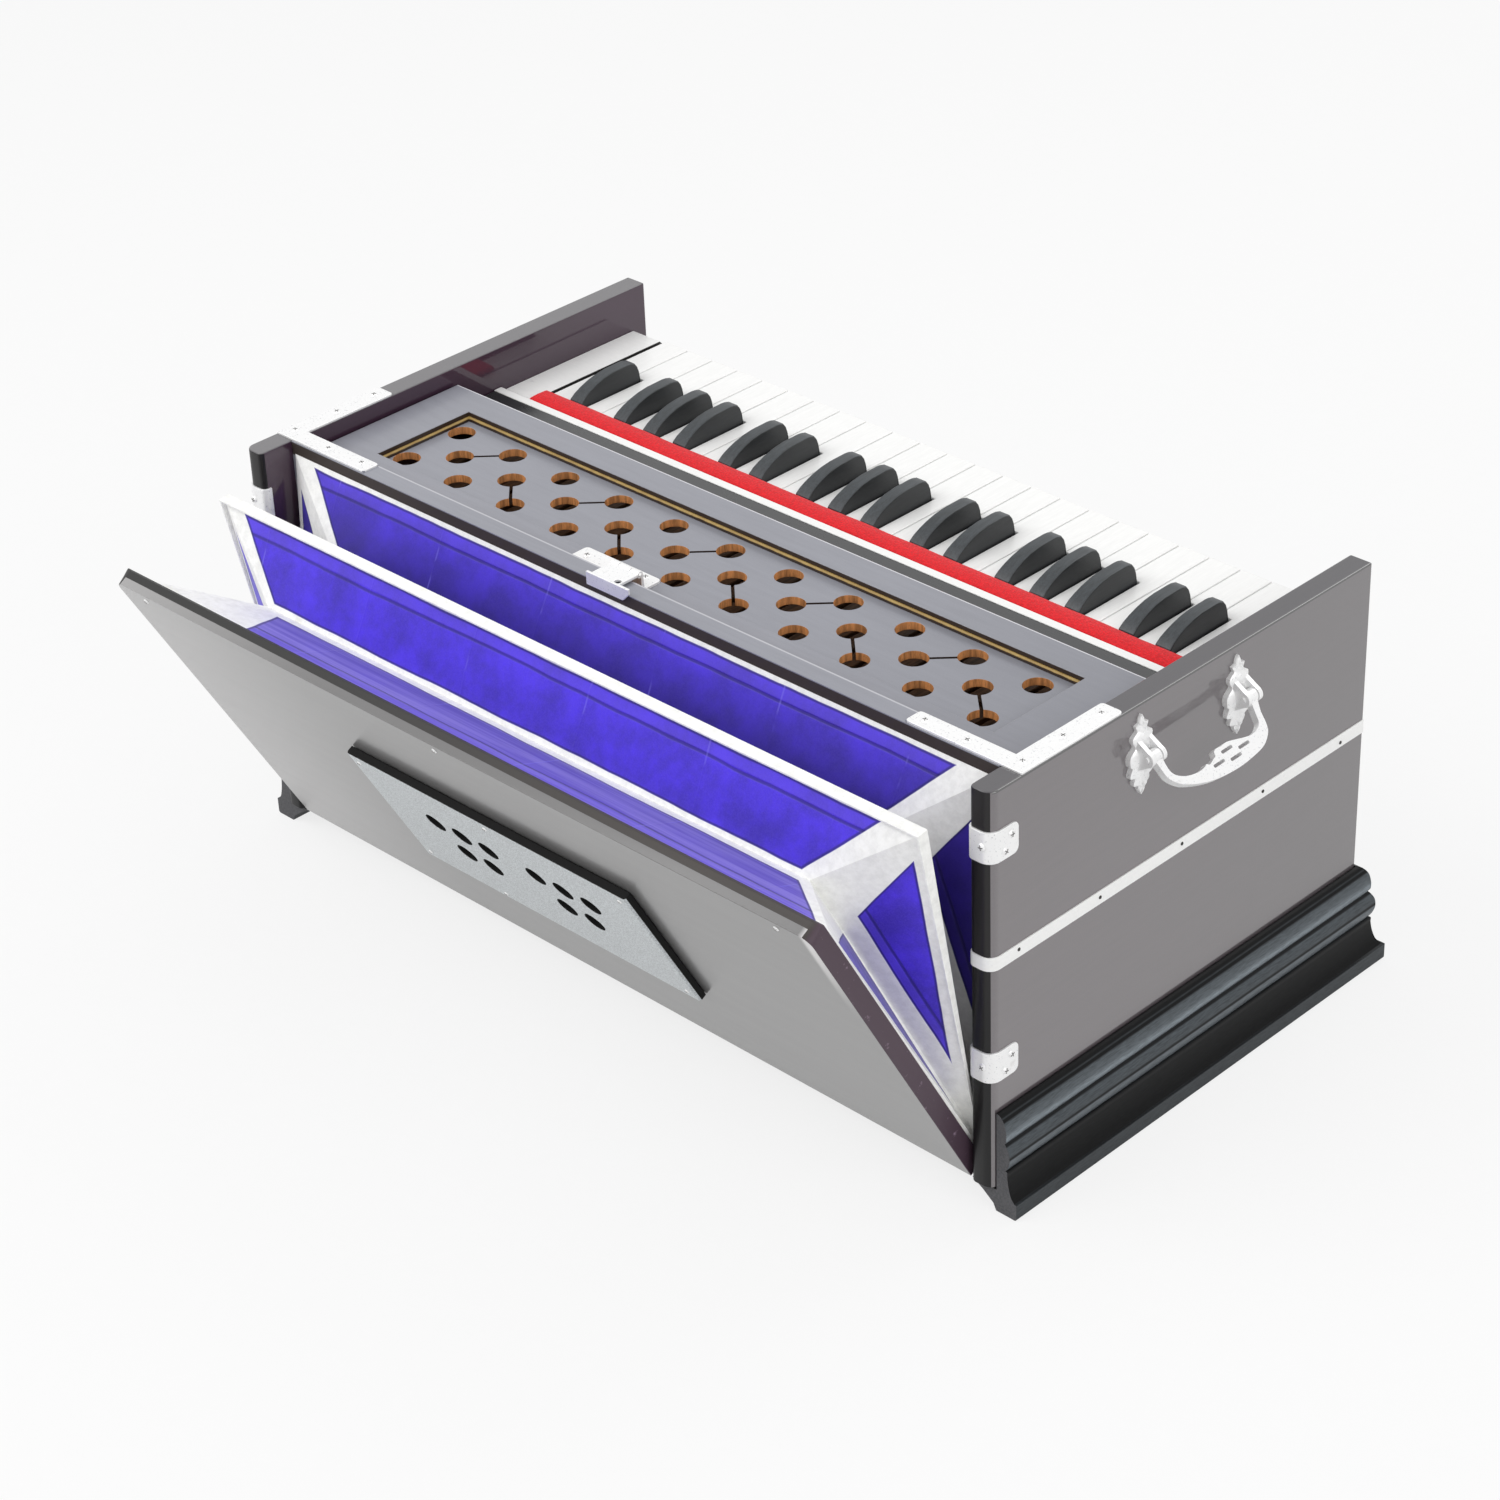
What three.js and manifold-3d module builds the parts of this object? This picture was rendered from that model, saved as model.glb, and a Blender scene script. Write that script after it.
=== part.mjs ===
// Indian harmonium: a portable hand-pumped reed organ with 39 keys, standing on its base moulding
// with the bellows board open. Sizes are in millimetres. X runs along the keyboard towards the bass
// end, Y from the bellows side towards the player, Z up from the floor.
import * as THREE from 'three';
import { mergeVertices } from 'three/addons/utils/BufferGeometryUtils.js';
import Module from 'manifold-3d';

const wasm = await Module();
wasm.setup();

// Driving sizes
const bodyLength = 560;
const bodyDepth = 302;
const bodyHeight = 252;
const panelThick = 14;
const bodyLift = 14;
const fitGap = 0.3;
const overrun = 5;
const half = bodyLength / 2;
const innerHalf = half - panelThick;

// Line where the key heads begin behind their levers, and level of the white keys' tops
const keyLine = bodyDepth - 120;
const keyLevel = bodyHeight - 28;

// Base moulding, as reach outwards from the end panel and height above the floor
const moulding = {
  reach: 13.7, height: 62, tuck: 16, footInset: 1, footStart: 0, setback: 3.4, ledge: 10,
};
const mouldingReachShares = [
  0.06, 0.24, 0.42, 0.5, 0.5, 0.42, 0.5, 0.63, 0.66, 0.58, 0.46, 0.55, 0.55, 0.6, 0.72, 0.9,
];
const mouldingRiseShares = [
  1, 0.98, 0.92, 0.83, 0.76, 0.73, 0.71, 0.65, 0.57, 0.5, 0.46, 0.45, 0.41, 0.32, 0.22, 0.165,
];
const mouldingTuckShares = [[0.12, 0.3], [0.55, 0.68]];

// Front wall on the bellows side, with the floor of the case, the key bed and the player-side board
const wall = { setback: 22.7, thick: 12 };
const wallBack = wall.setback + wall.thick;
const caseFloor = { thick: 10 };
const keyBed = { top: keyLevel - 22, thick: 20, front: keyLine, lip: 10 };
const playerBoard = { thick: 12, slipThick: 8, slipHeight: 10 };
const port = { centre: 130, width: 130, height: 60, rise: 80 };

// Reed board on its ledges, with the balance rail that the key levers rock on
const reedBoard = { thick: 12, top: keyBed.top + 2 };
const ledge = { reach: 9, depth: 12, slope: 4 };
const balance = { y: keyLine - 10, halfBase: 7, halfTop: 1, foot: 2 };
const slot = { width: 5, start: 72, length: 24 };
const reed = {
  blockLength: 14, blockWidth: 8, blockThick: 2, tongueWidth: 2.6, tongueThick: 0.9, tongueEnd: 2,
};

// Top cover with its recess, and the perforated panel in it
const cover = {
  drop: 10, thick: 10, sideGap: 2, front: 36, back: keyLine - 35.6, frontRail: 21, backRail: 20, sideRail: 32,
};
const coverTop = bodyHeight - cover.drop;
const coverHalf = innerHalf - cover.sideGap;
const recess = { depth: 5, rebate: 5 };
const coverLedge = { reach: 6, depth: 3, slope: 3 };
const hole = { shift: -4.5, joinWidth: 2.4, sides: 20 };

// The holes' pitch as a share of the window's length, their radius and rows of its depth
const holePitchShare = 0.09397;
const holeRadiusShare = 0.1153;
const holeRowShare = 0.3026;
const firstRowShare = 0.1873;
const holesInOuterRow = 11;

// Catch on the middle of the cover: a foot plate with a raised seat, and a strap with a hole that
// reaches over the wall and ends in a turned lip
const catchFoot = { left: -58, right: -1, front: 42, depth: 14.4, thick: 1.4 };
const catchSeat = { left: -19, front: 42, depth: 6 };
const catchStrap = {
  left: -20, right: 1, thick: 1.6, overWall: 1.3, holeRadius: 2, holeX: -2, holeInset: 4.6,
};
const catchLip = { right: 12, corner: 4.5, gap: 1, drop: 2.6, rise: 2.4 };
const catchBarrel = { radius: 2.1, gap: 0.3 };
const catchStrapTop = bodyHeight + catchStrap.overWall + catchStrap.thick;

// Key rail and felt strip behind the cover
const keyRail = {
  front: cover.back + 1.2, back: keyLine - 1, thick: 6, top: keyLevel + 2.4, stripDepth: 5.7, stripRise: 0.5,
};
const felt = { depth: 14.7, height: 2.6, top: keyLevel + 3.2, crown: 0.9 };

// Keys: white and black heads in front of the rail, levers and pallets behind it
const keyCount = 39;
const stepsInOctave = 12;
const whitesInOctave = 7;
const blackSteps = [1, 3, 6, 8, 10];
const whitePitch = 21.1;
const fieldShift = 1.65;
const whiteKey = { top: keyLevel, thick: 12, front: bodyDepth - 9, nose: 2.5, sideGap: 0.4 };
const blackKey = {
  width: 11, topWidth: 8.6, front: whiteKey.front - 48, rise: 13, backRise: 13, clearance: 0.5,
};
const blackRamp = { start: keyLine + 14.6, length: 26, foot: 3.8, nose: 5, noseDrop: 5 };
const blackCornerShare = 1 / 3;
const notchGap = 1.4;
const lastKeyRelief = 0.8;
const lever = {
  width: 9.2, end: 62, start: keyLine - 16, step: keyLine, top: keyLevel - 6, bottom: keyLevel - 12,
};
const pallet = { start: lever.end + 4, end: lever.end + 40 };
const keyBlock = { front: keyLine + 3, back: whiteKey.front, gap: 1 };

// Bellows: board, intake plate, two pleats and the ridge strip between them
const boardAngle = THREE.MathUtils.degToRad(28.87);
const boardSideGap = 2;
const board = {
  length: 2 * (innerHalf - boardSideGap), height: bodyHeight - 20.1, thick: 11, hingeY: 12.2, hingeZ: 19.7, chamfer: 2.5,
};
const plate = { width: 216, bottom: 65, height: 101, thick: 5, bevel: 1.6 };
const airHole = { radius: 6.8, pitch: 21, rowPitch: 23.5, topRow: 127, clusterX: 39.5, sides: 14 };
const flap = { width: 182, bottom: 88, height: 58, thick: 2 };
const ridgeAngle = THREE.MathUtils.degToRad(10.94);
const pleat = {
  halfLength: board.length / 2 - 1, foot: 14, wall: 2.4,
  wallRidge: board.height - 6.9, ridge: board.height - 10.4, boardRidge: board.height - 10.9,
};
const rearValley = { angle: THREE.MathUtils.degToRad(3), radius: pleat.ridge - 35.5, inset: 51 };
const frontValley = { angle: THREE.MathUtils.degToRad(19.3), radius: pleat.ridge - 34, inset: 56 };
const ridgeStrip = { radius: pleat.ridge + 2.7, halfWidth: 4.5, drop: 4.5, thick: 1.6 };

// Bail handles and what the end panels carry
const handle = { y: 149.3, halfSpan: 38.3, z: bodyHeight - 26, offset: 9.5, tilt: 43.5, reach: 24.6 };
const bendShares = { bellowsSide: 0.75, playerSide: 0.48 };
const bail = { radius: 2.5, eyeRadius: 3.8, eyeWidth: 5, boreRadius: 2, webThick: 3.4 };
const lug = { gap: 2.9, thick: 2.4, radius: 4.2, pinRadius: 1.6 };
const leaf = {
  width: 19, height: 44, bottom: bodyHeight - 52, outset: 3, topThick: 5, midThick: 5, footThick: 2, tipThick: 3,
};
const leafWidthShares = [0.04, 0.22, 0.17, 0.36, 0.29, 0.47, 0.5, 0.4, 0.43, 0.26, 0.28, 0.06];
const leafRiseShares = [1, 0.88, 0.82, 0.7, 0.62, 0.5, 0.38, 0.3, 0.22, 0.17, 0.08, 0];

// Pierced web on the player's half of the bail, and its four slits, as shares of span and reach
const webShares = [
  [-0.3, 0.75], [-0.1, 0.69], [-0.01, 0.58], [0.22, 0.57], [0.53, 0.66], [0.84, 0.68],
  [0.84, 0.79], [0.62, 0.92], [0.3, 0.97], [-0.1, 0.97], [-0.34, 0.93],
];
const slitShares = [[-0.09, 0.83], [0.23, 0.83], [0.17, 0.67], [0.48, 0.77]];
const slit = { length: 8.6, height: 1.7 };
const clip = { leg: 22, height: 22, thick: 1, lowerZ: 88, upperZ: bodyHeight - 33, inner: 10 };
const bracket = { sideEnd: 99, frontEnd: 204, thick: 1, edge: 0.8, width: 11.2 };
const panelNose = { outer: 6, inner: 3 };

const finishes = {
  panel: { color: 0x878084, roughness: 0.45, metalness: 0 },
  moulding: { color: 0x4b5053, roughness: 0.4, metalness: 0 },
  top: { color: 0x8c8e96, roughness: 0.4, metalness: 0 },
  innerWood: { color: 0xa9855a, roughness: 0.7, metalness: 0 },
  rail: { color: 0x17191d, roughness: 0.4, metalness: 0 },
  felt: { color: 0xd01e2d, roughness: 0.95, metalness: 0 },
  ivory: { color: 0xf2f1ee, roughness: 0.3, metalness: 0 },
  ebony: { color: 0x2d3339, roughness: 0.35, metalness: 0 },
  nickel: { color: 0xe2e2e2, roughness: 0.25, metalness: 1 },
  boardFace: { color: 0xa4a4a4, roughness: 0.35, metalness: 0 },
  plate: { color: 0xc8ccce, roughness: 0.5, metalness: 0 },
  bellows: { color: 0x5037dc, roughness: 0.7, metalness: 0 },
  tape: { color: 0xf4f4f2, roughness: 0.8, metalness: 0 },
};

const harmonium = new THREE.Group();
const boardGroup = new THREE.Group();
const ridgeGroup = new THREE.Group();

function addPiece(name, geometry, finish, parent = harmonium) {
  geometry.computeVertexNormals();
  const mesh = new THREE.Mesh(geometry, new THREE.MeshStandardMaterial(finishes[finish]));
  mesh.name = name;
  parent.add(mesh);
  return mesh;
}

// Solids: outlines pushed along an axis, and booleans between closed meshes
function toSolid(geometry) {
  const bare = geometry.clone();
  bare.deleteAttribute('normal');
  bare.deleteAttribute('uv');
  const merged = mergeVertices(bare);
  const vertProperties = new Float32Array(merged.attributes.position.array);
  const triVerts = new Uint32Array(merged.index.array);
  return new wasm.Manifold(new wasm.Mesh({ numProp: 3, vertProperties, triVerts }));
}

function toGeometry(solid) {
  const mesh = solid.getMesh();
  const geometry = new THREE.BufferGeometry();
  geometry.setAttribute('position', new THREE.BufferAttribute(new Float32Array(mesh.vertProperties), 3));
  geometry.setIndex(new THREE.BufferAttribute(new Uint32Array(mesh.triVerts), 1));
  return geometry;
}

function combine(operation, first, others) {
  let solid = toSolid(first);
  for (const other of others) solid = solid[operation](toSolid(other));
  return toGeometry(solid);
}

const cut = (first, ...tools) => combine('subtract', first, tools);
const join = (first, ...others) => combine('add', first, others);
const common = (first, ...others) => combine('intersect', first, others);

function outline(points) {
  const kept = points.filter((p, i) => {
    const next = points[(i + 1) % points.length];
    return Math.hypot(p[0] - next[0], p[1] - next[1]) > 0;
  });
  return new THREE.Shape(kept.map(([u, v]) => new THREE.Vector2(u, v)));
}

function push(shape, length) {
  return new THREE.ExtrudeGeometry(shape, { depth: length, bevelEnabled: false });
}

const xAxis = new THREE.Vector3(1, 0, 0);
const yAxis = new THREE.Vector3(0, 1, 0);
const zAxis = new THREE.Vector3(0, 0, 1);

// Outline of (y, z) points pushed along X, of (x, z) points along Y, of (x, y) points along Z
function alongX(points, low, high) {
  const turn = new THREE.Matrix4().makeBasis(yAxis, zAxis, xAxis);
  return push(outline(points), high - low).applyMatrix4(turn).translate(low, 0, 0);
}

function alongY(points, low, high) {
  const turn = new THREE.Matrix4().makeBasis(xAxis, zAxis, yAxis.clone().negate());
  return push(outline(points), high - low).applyMatrix4(turn).translate(0, high, 0);
}

function alongZ(points, low, high) {
  return push(outline(points), high - low).translate(0, 0, low);
}

function block(x0, x1, y0, y1, z0, z1) {
  const box = new THREE.BoxGeometry(x1 - x0, y1 - y0, z1 - z0);
  return box.translate((x0 + x1) / 2, (y0 + y1) / 2, (z0 + z1) / 2);
}

function rodY(radius, x, y0, y1, z, sides) {
  return new THREE.CylinderGeometry(radius, radius, y1 - y0, sides).translate(x, (y0 + y1) / 2, z);
}

function rodX(radius, x0, x1, y, z, sides) {
  const rod = new THREE.CylinderGeometry(radius, radius, x1 - x0, sides).rotateZ(Math.PI / 2);
  return rod.translate((x0 + x1) / 2, y, z);
}

function rodZ(radius, x, y, z0, z1, sides) {
  const rod = new THREE.CylinderGeometry(radius, radius, z1 - z0, sides).rotateX(Math.PI / 2);
  return rod.translate(x, y, (z0 + z1) / 2);
}

// A mirrored copy across the middle of the length, with its faces turned back out
function mirrored(geometry) {
  const copy = geometry.clone().applyMatrix4(new THREE.Matrix4().makeScale(-1, 1, 1));
  const index = copy.index.array;
  for (let i = 0; i < index.length; i += 3) [index[i], index[i + 1]] = [index[i + 1], index[i]];
  return copy;
}

// Case: front wall, floor, key bed and player-side board in one section, closed by the end panels
function makeCase() {
  const floorTop = bodyLift + caseFloor.thick;
  const reedUnder = reedBoard.top - reedBoard.thick - fitGap;
  const coverUnder = coverTop - cover.thick - fitGap;
  const bedUnder = keyBed.top - keyBed.thick;
  const boardInner = bodyDepth - playerBoard.thick;
  const slipInner = bodyDepth - playerBoard.slipThick;
  const section = [
    [wall.setback, bodyLift],
    [bodyDepth, bodyLift],
    [bodyDepth, keyBed.top + playerBoard.slipHeight],
    [slipInner, keyBed.top + playerBoard.slipHeight],
    [slipInner, keyBed.top],
    [keyBed.front, keyBed.top],
    [keyBed.front, reedUnder],
    [keyBed.front - keyBed.lip, reedUnder],
    [keyBed.front - keyBed.lip, bedUnder],
    [boardInner, bedUnder],
    [boardInner, floorTop],
    [wallBack, floorTop],
    [wallBack, reedUnder - ledge.depth],
    [wallBack + ledge.reach, reedUnder - ledge.depth + ledge.slope],
    [wallBack + ledge.reach, reedUnder],
    [wallBack, reedUnder],
    [wallBack, coverUnder - coverLedge.depth - coverLedge.slope],
    [wallBack + coverLedge.reach, coverUnder - coverLedge.depth],
    [wallBack + coverLedge.reach, coverUnder],
    [wallBack, coverUnder],
    [wallBack, bodyHeight],
    [wall.setback, bodyHeight],
  ];
  const end = innerHalf - fitGap;
  const shell = alongX(section, -end, end);
  const ports = [-1, 1].map((side) => {
    const x = side * port.centre;
    const left = x - port.width / 2;
    const through = [wall.setback - overrun, wallBack + overrun];
    return block(left, left + port.width, ...through, port.rise, port.rise + port.height);
  });
  const legs = [-1, 1].map((side) => {
    const inner = side * bracket.frontEnd;
    const y0 = wall.setback + bracket.edge;
    const low = bodyHeight - bracket.thick;
    const span = [Math.min(inner, side * end), Math.max(inner, side * end)];
    return block(...span, y0, y0 + bracket.width, low, bodyHeight + bracket.thick);
  });
  addPiece('case_body', join(cut(shell, ...ports), ...legs), 'top');
}

// End panel with a rounded front edge, the handle's two ornamental mounts, edge clips and bracket leg
function panelPlan() {
  const shape = new THREE.Shape();
  shape.moveTo(innerHalf, bodyDepth);
  shape.lineTo(innerHalf, panelNose.inner);
  shape.absarc(innerHalf + panelNose.inner, panelNose.inner, panelNose.inner, Math.PI, 1.5 * Math.PI, false);
  shape.lineTo(half - panelNose.outer, 0);
  shape.absarc(half - panelNose.outer, panelNose.outer, panelNose.outer, -Math.PI / 2, 0, false);
  shape.lineTo(half, bodyDepth);
  return shape;
}

function handleMount(side) {
  const y = handle.y + side * handle.halfSpan;
  const centre = y + side * leaf.outset;
  const rise = (i) => leaf.bottom + leafRiseShares[i] * leaf.height;
  const right = leafWidthShares.map((w, i) => [centre + w * leaf.width, rise(i)]);
  const left = leafWidthShares.map((w, i) => [centre - w * leaf.width, rise(i)]);
  const backing = half - leaf.footThick;
  const blank = alongX([...right, ...left.reverse()], backing, half + leaf.midThick);
  const belly = [
    [backing, leaf.bottom],
    [half + leaf.footThick, leaf.bottom],
    [half + leaf.midThick, handle.z - lug.radius],
    [half + leaf.midThick, handle.z + lug.radius],
    [half + leaf.topThick, leaf.bottom + leaf.height - leaf.tipThick],
    [half + leaf.tipThick, leaf.bottom + leaf.height],
    [backing, leaf.bottom + leaf.height],
  ];
  const pieces = [common(blank, alongY(belly, centre - leaf.width, centre + leaf.width))];
  const lugSpan = lug.gap + lug.thick;
  for (const way of [-1, 1]) {
    const near = y + way * lug.gap;
    const far = y + way * lugSpan;
    const low = Math.min(near, far);
    const high = Math.max(near, far);
    pieces.push(rodY(lug.radius, half + handle.offset, low, high, handle.z, 12));
    const lugRise = [handle.z - lug.radius, handle.z + lug.radius];
    pieces.push(block(backing, half + handle.offset, low, high, ...lugRise));
  }
  pieces.push(rodY(lug.pinRadius, half + handle.offset, y - lugSpan, y + lugSpan, handle.z, 8));
  return pieces;
}

function edgeClip(z) {
  const low = z - clip.height / 2;
  const high = low + clip.height;
  const outside = block(half - clip.thick, half + clip.thick, panelNose.outer, clip.leg, low, high);
  const nose = panelPlan();
  const skin = push(nose, clip.height).translate(0, 0, low);
  skin.translate(-(innerHalf + half) / 2, 0, 0);
  skin.scale((panelThick + 2 * clip.thick) / panelThick, 1, 1);
  skin.translate((innerHalf + half) / 2, -clip.thick, 0);
  const keep = block(innerHalf, half + overrun, -overrun, clip.inner, low, high);
  return [outside, common(skin, keep)];
}

function makeEndPanels() {
  const blank = push(panelPlan(), bodyHeight - bodyLift - fitGap).translate(0, 0, bodyLift + fitGap);
  const low = bodyHeight - bracket.thick;
  const y0 = wall.setback + bracket.edge;
  const leg = block(innerHalf, half - bracket.edge, y0, bracket.sideEnd, low, bodyHeight + bracket.thick);
  const mounts = [-1, 1].flatMap((side) => handleMount(side));
  const clips = [...edgeClip(clip.lowerZ), ...edgeClip(clip.upperZ)];
  const right = join(blank, leg, ...clips, ...mounts);
  addPiece('right_end_panel', right, 'panel');
  addPiece('left_end_panel', mirrored(right), 'panel');
}

// Base moulding: one section in three mitred lengths, cut square at the bellows side
function mouldingSection() {
  const tuckTop = bodyLift - fitGap;
  const rise = (i) => mouldingRiseShares[i] * moulding.height;
  const face = mouldingReachShares.map((r, i) => [r * moulding.reach, rise(i)]);
  const tucked = mouldingTuckShares.map(([s, r]) => [moulding.footStart - s * moulding.tuck, r * tuckTop]);
  return [
    [fitGap, tuckTop],
    [fitGap, moulding.height],
    ...face,
    [moulding.reach, moulding.ledge],
    [moulding.reach, moulding.footInset],
    [moulding.reach - moulding.footInset, 0],
    [moulding.footStart, 0],
    ...tucked,
    [-moulding.tuck, tuckTop],
  ];
}

function makeMouldings() {
  const section = mouldingSection();
  const inner = half - moulding.tuck;
  const outer = half + moulding.reach;
  const far = bodyDepth + moulding.reach;
  const bar = alongY(section.map(([o, z]) => [half + o, z]), moulding.setback, far);
  const mitre = [
    [inner - overrun, 0],
    [outer + overrun, 0],
    [outer + overrun, far + overrun - fitGap],
    [inner - overrun, bodyDepth - moulding.tuck - overrun - fitGap],
  ];
  const right = common(bar, alongZ(mitre, -overrun, moulding.height + overrun));
  addPiece('right_base_moulding', right, 'moulding');
  addPiece('left_base_moulding', mirrored(right), 'moulding');
  const long = alongX(section.map(([o, z]) => [bodyDepth + o, z]), -outer, outer);
  const fan = [
    [-outer - overrun, far + overrun],
    [-inner + overrun, bodyDepth - moulding.tuck - overrun],
    [inner - overrun, bodyDepth - moulding.tuck - overrun],
    [outer + overrun, far + overrun],
  ];
  const ends = alongZ(fan, -overrun, moulding.height + overrun);
  addPiece('player_base_moulding', common(long, ends), 'moulding');
}

// Keyboard layout, counted from the lowest C at the bass end, where the key block is narrower
const whiteCount = Math.floor(keyCount / stepsInOctave) * whitesInOctave + 2;
const fieldHalf = whiteCount * whitePitch / 2;
const fieldBass = fieldHalf + fieldShift;
const fieldTreble = fieldShift - fieldHalf;
const lanePitch = whitePitch * whitesInOctave / stepsInOctave;
const isBlack = (key) => blackSteps.includes(key % stepsInOctave);
const laneX = (key) => fieldBass - (key + 0.5) * lanePitch;

function whiteIndex(key) {
  const blacksBelow = blackSteps.filter((step) => step < key % stepsInOctave).length;
  return Math.floor(key / stepsInOctave) * whitesInOctave + (key % stepsInOctave) - blacksBelow;
}

function leverPlan(lane, low, high, steps) {
  const a = lane - lever.width / 2;
  const b = lane + lever.width / 2;
  return [
    [a, lever.end],
    [b, lever.end],
    [b, lever.start],
    [high, lever.start],
    ...steps,
    [low, lever.start],
    [a, lever.start],
  ];
}

function leverSection(headPoints) {
  return [
    [lever.end, lever.top],
    [lever.end, lever.bottom],
    [pallet.start, lever.bottom],
    [pallet.start, reedBoard.top + fitGap],
    [pallet.end, reedBoard.top + fitGap],
    [pallet.end, lever.bottom],
    [balance.y, lever.bottom],
    ...headPoints,
    [lever.step, whiteKey.top],
    [lever.step, lever.top],
  ];
}

function whiteKeyBody(key) {
  const centre = fieldBass - (whiteIndex(key) + 0.5) * whitePitch;
  const headLow = centre - whitePitch / 2 + whiteKey.sideGap;
  const headHigh = centre + whitePitch / 2 - whiteKey.sideGap;
  const beside = blackKey.width / 2 + blackKey.clearance;
  const above = key + 1 < keyCount && isBlack(key + 1);
  const below = key > 0 && isBlack(key - 1);
  const neckLow = above ? laneX(key + 1) + beside : headLow;
  const relief = key === keyCount - 1 ? lastKeyRelief : 0;
  const neckHigh = below ? laneX(key - 1) - beside - relief : headHigh;
  const notch = blackKey.front + notchGap;
  const plan = leverPlan(laneX(key), neckLow, neckHigh, [
    [neckHigh, notch],
    [headHigh, notch],
    [headHigh, whiteKey.front],
    [headLow, whiteKey.front],
    [headLow, notch],
    [neckLow, notch],
  ]);
  const bottom = whiteKey.top - whiteKey.thick;
  const section = leverSection([
    [whiteKey.front, bottom],
    [whiteKey.front, whiteKey.top - whiteKey.nose],
    [whiteKey.front - whiteKey.nose, whiteKey.top],
  ]);
  const span = [headLow - whitePitch, headHigh + whitePitch];
  return common(alongZ(plan, reedBoard.top, whiteKey.top + overrun), alongX(section, ...span));
}

function blackKeyBody(key) {
  const lane = laneX(key);
  const w = blackKey.width / 2;
  const plan = leverPlan(lane, lane - w, lane + w, [[lane + w, blackKey.front], [lane - w, blackKey.front]]);
  const bottom = whiteKey.top - whiteKey.thick;
  const top = whiteKey.top + blackKey.rise;
  const section = leverSection([
    [blackKey.front, bottom],
    [blackKey.front, top - blackRamp.noseDrop],
    [
      blackKey.front - blackRamp.nose * blackCornerShare,
      top - blackRamp.noseDrop * blackCornerShare,
    ],
    [blackKey.front - blackRamp.nose, top],
    [blackRamp.start + blackRamp.length, whiteKey.top + blackKey.backRise],
    [
      blackRamp.start + blackRamp.length * blackCornerShare,
      whiteKey.top + blackKey.backRise * (1 - blackCornerShare),
    ],
    [blackRamp.start, whiteKey.top + blackRamp.foot],
    [blackRamp.start, whiteKey.top],
  ]);
  const t = blackKey.topWidth / 2;
  const draft = [
    [lane - w, reedBoard.top],
    [lane + w, reedBoard.top],
    [lane + w, whiteKey.top],
    [lane + t, top],
    [lane - t, top],
    [lane - w, whiteKey.top],
  ];
  const solid = alongZ(plan, reedBoard.top, top + overrun);
  const span = [lane - blackKey.width, lane + blackKey.width];
  return common(solid, alongX(section, ...span), alongY(draft, 0, bodyDepth));
}

function makeKeys() {
  for (let key = 0; key < keyCount; key += 1) {
    const name = `key_${String(key + 1).padStart(2, '0')}_${isBlack(key) ? 'black' : 'white'}`;
    if (isBlack(key)) addPiece(name, blackKeyBody(key), 'ebony');
    else addPiece(name, whiteKeyBody(key), 'ivory');
  }
}

function makeKeyBlocks() {
  const section = [
    [keyBlock.front, keyBed.top + fitGap],
    [keyBlock.back, keyBed.top + fitGap],
    [keyBlock.back, whiteKey.top - whiteKey.nose],
    [keyBlock.back - whiteKey.nose, whiteKey.top],
    [keyBlock.front, whiteKey.top],
  ];
  const right = alongX(section, fieldBass + keyBlock.gap, innerHalf - fitGap);
  addPiece('right_key_block', right, 'ivory');
  const left = alongX(section, -innerHalf + fitGap, fieldTreble - keyBlock.gap);
  addPiece('left_key_block', left, 'ivory');
}

// Reed board with a slot and a reed under each pallet, and the balance rail on top
function makeReedBoard() {
  const bottom = reedBoard.top - reedBoard.thick;
  const end = innerHalf - fitGap;
  const back = keyBed.front - fitGap;
  const ridgeTop = lever.bottom - fitGap;
  const section = [
    [wallBack + fitGap, bottom],
    [back, bottom],
    [back, reedBoard.top],
    [balance.y + balance.halfBase, reedBoard.top + balance.foot],
    [balance.y + balance.halfTop, ridgeTop],
    [balance.y - balance.halfTop, ridgeTop],
    [balance.y - balance.halfBase, reedBoard.top + balance.foot],
    [balance.y - balance.halfBase, reedBoard.top],
    [wallBack + fitGap, reedBoard.top],
  ];
  const slots = [];
  const reeds = [];
  const slotEnd = slot.start + slot.length;
  const through = [bottom - overrun, reedBoard.top + overrun];
  const low = bottom - reed.blockThick;
  const wide = reed.blockWidth / 2;
  const slim = reed.tongueWidth / 2;
  const tip = slot.start + reed.tongueEnd;
  const rootEnd = slotEnd + reed.blockLength;
  const tongueRoot = slotEnd + reed.blockLength / 2;
  for (let key = 0; key < keyCount; key += 1) {
    const x = laneX(key);
    slots.push(block(x - slot.width / 2, x + slot.width / 2, slot.start, slotEnd, ...through));
    reeds.push(block(x - wide, x + wide, slotEnd, rootEnd, low, bottom + reed.tongueThick));
    reeds.push(block(x - slim, x + slim, tip, tongueRoot, low, low + reed.tongueThick));
  }
  const slotted = cut(alongX(section, -end, end), ...slots);
  addPiece('reed_board', join(slotted, ...reeds), 'innerWood');
}

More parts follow.
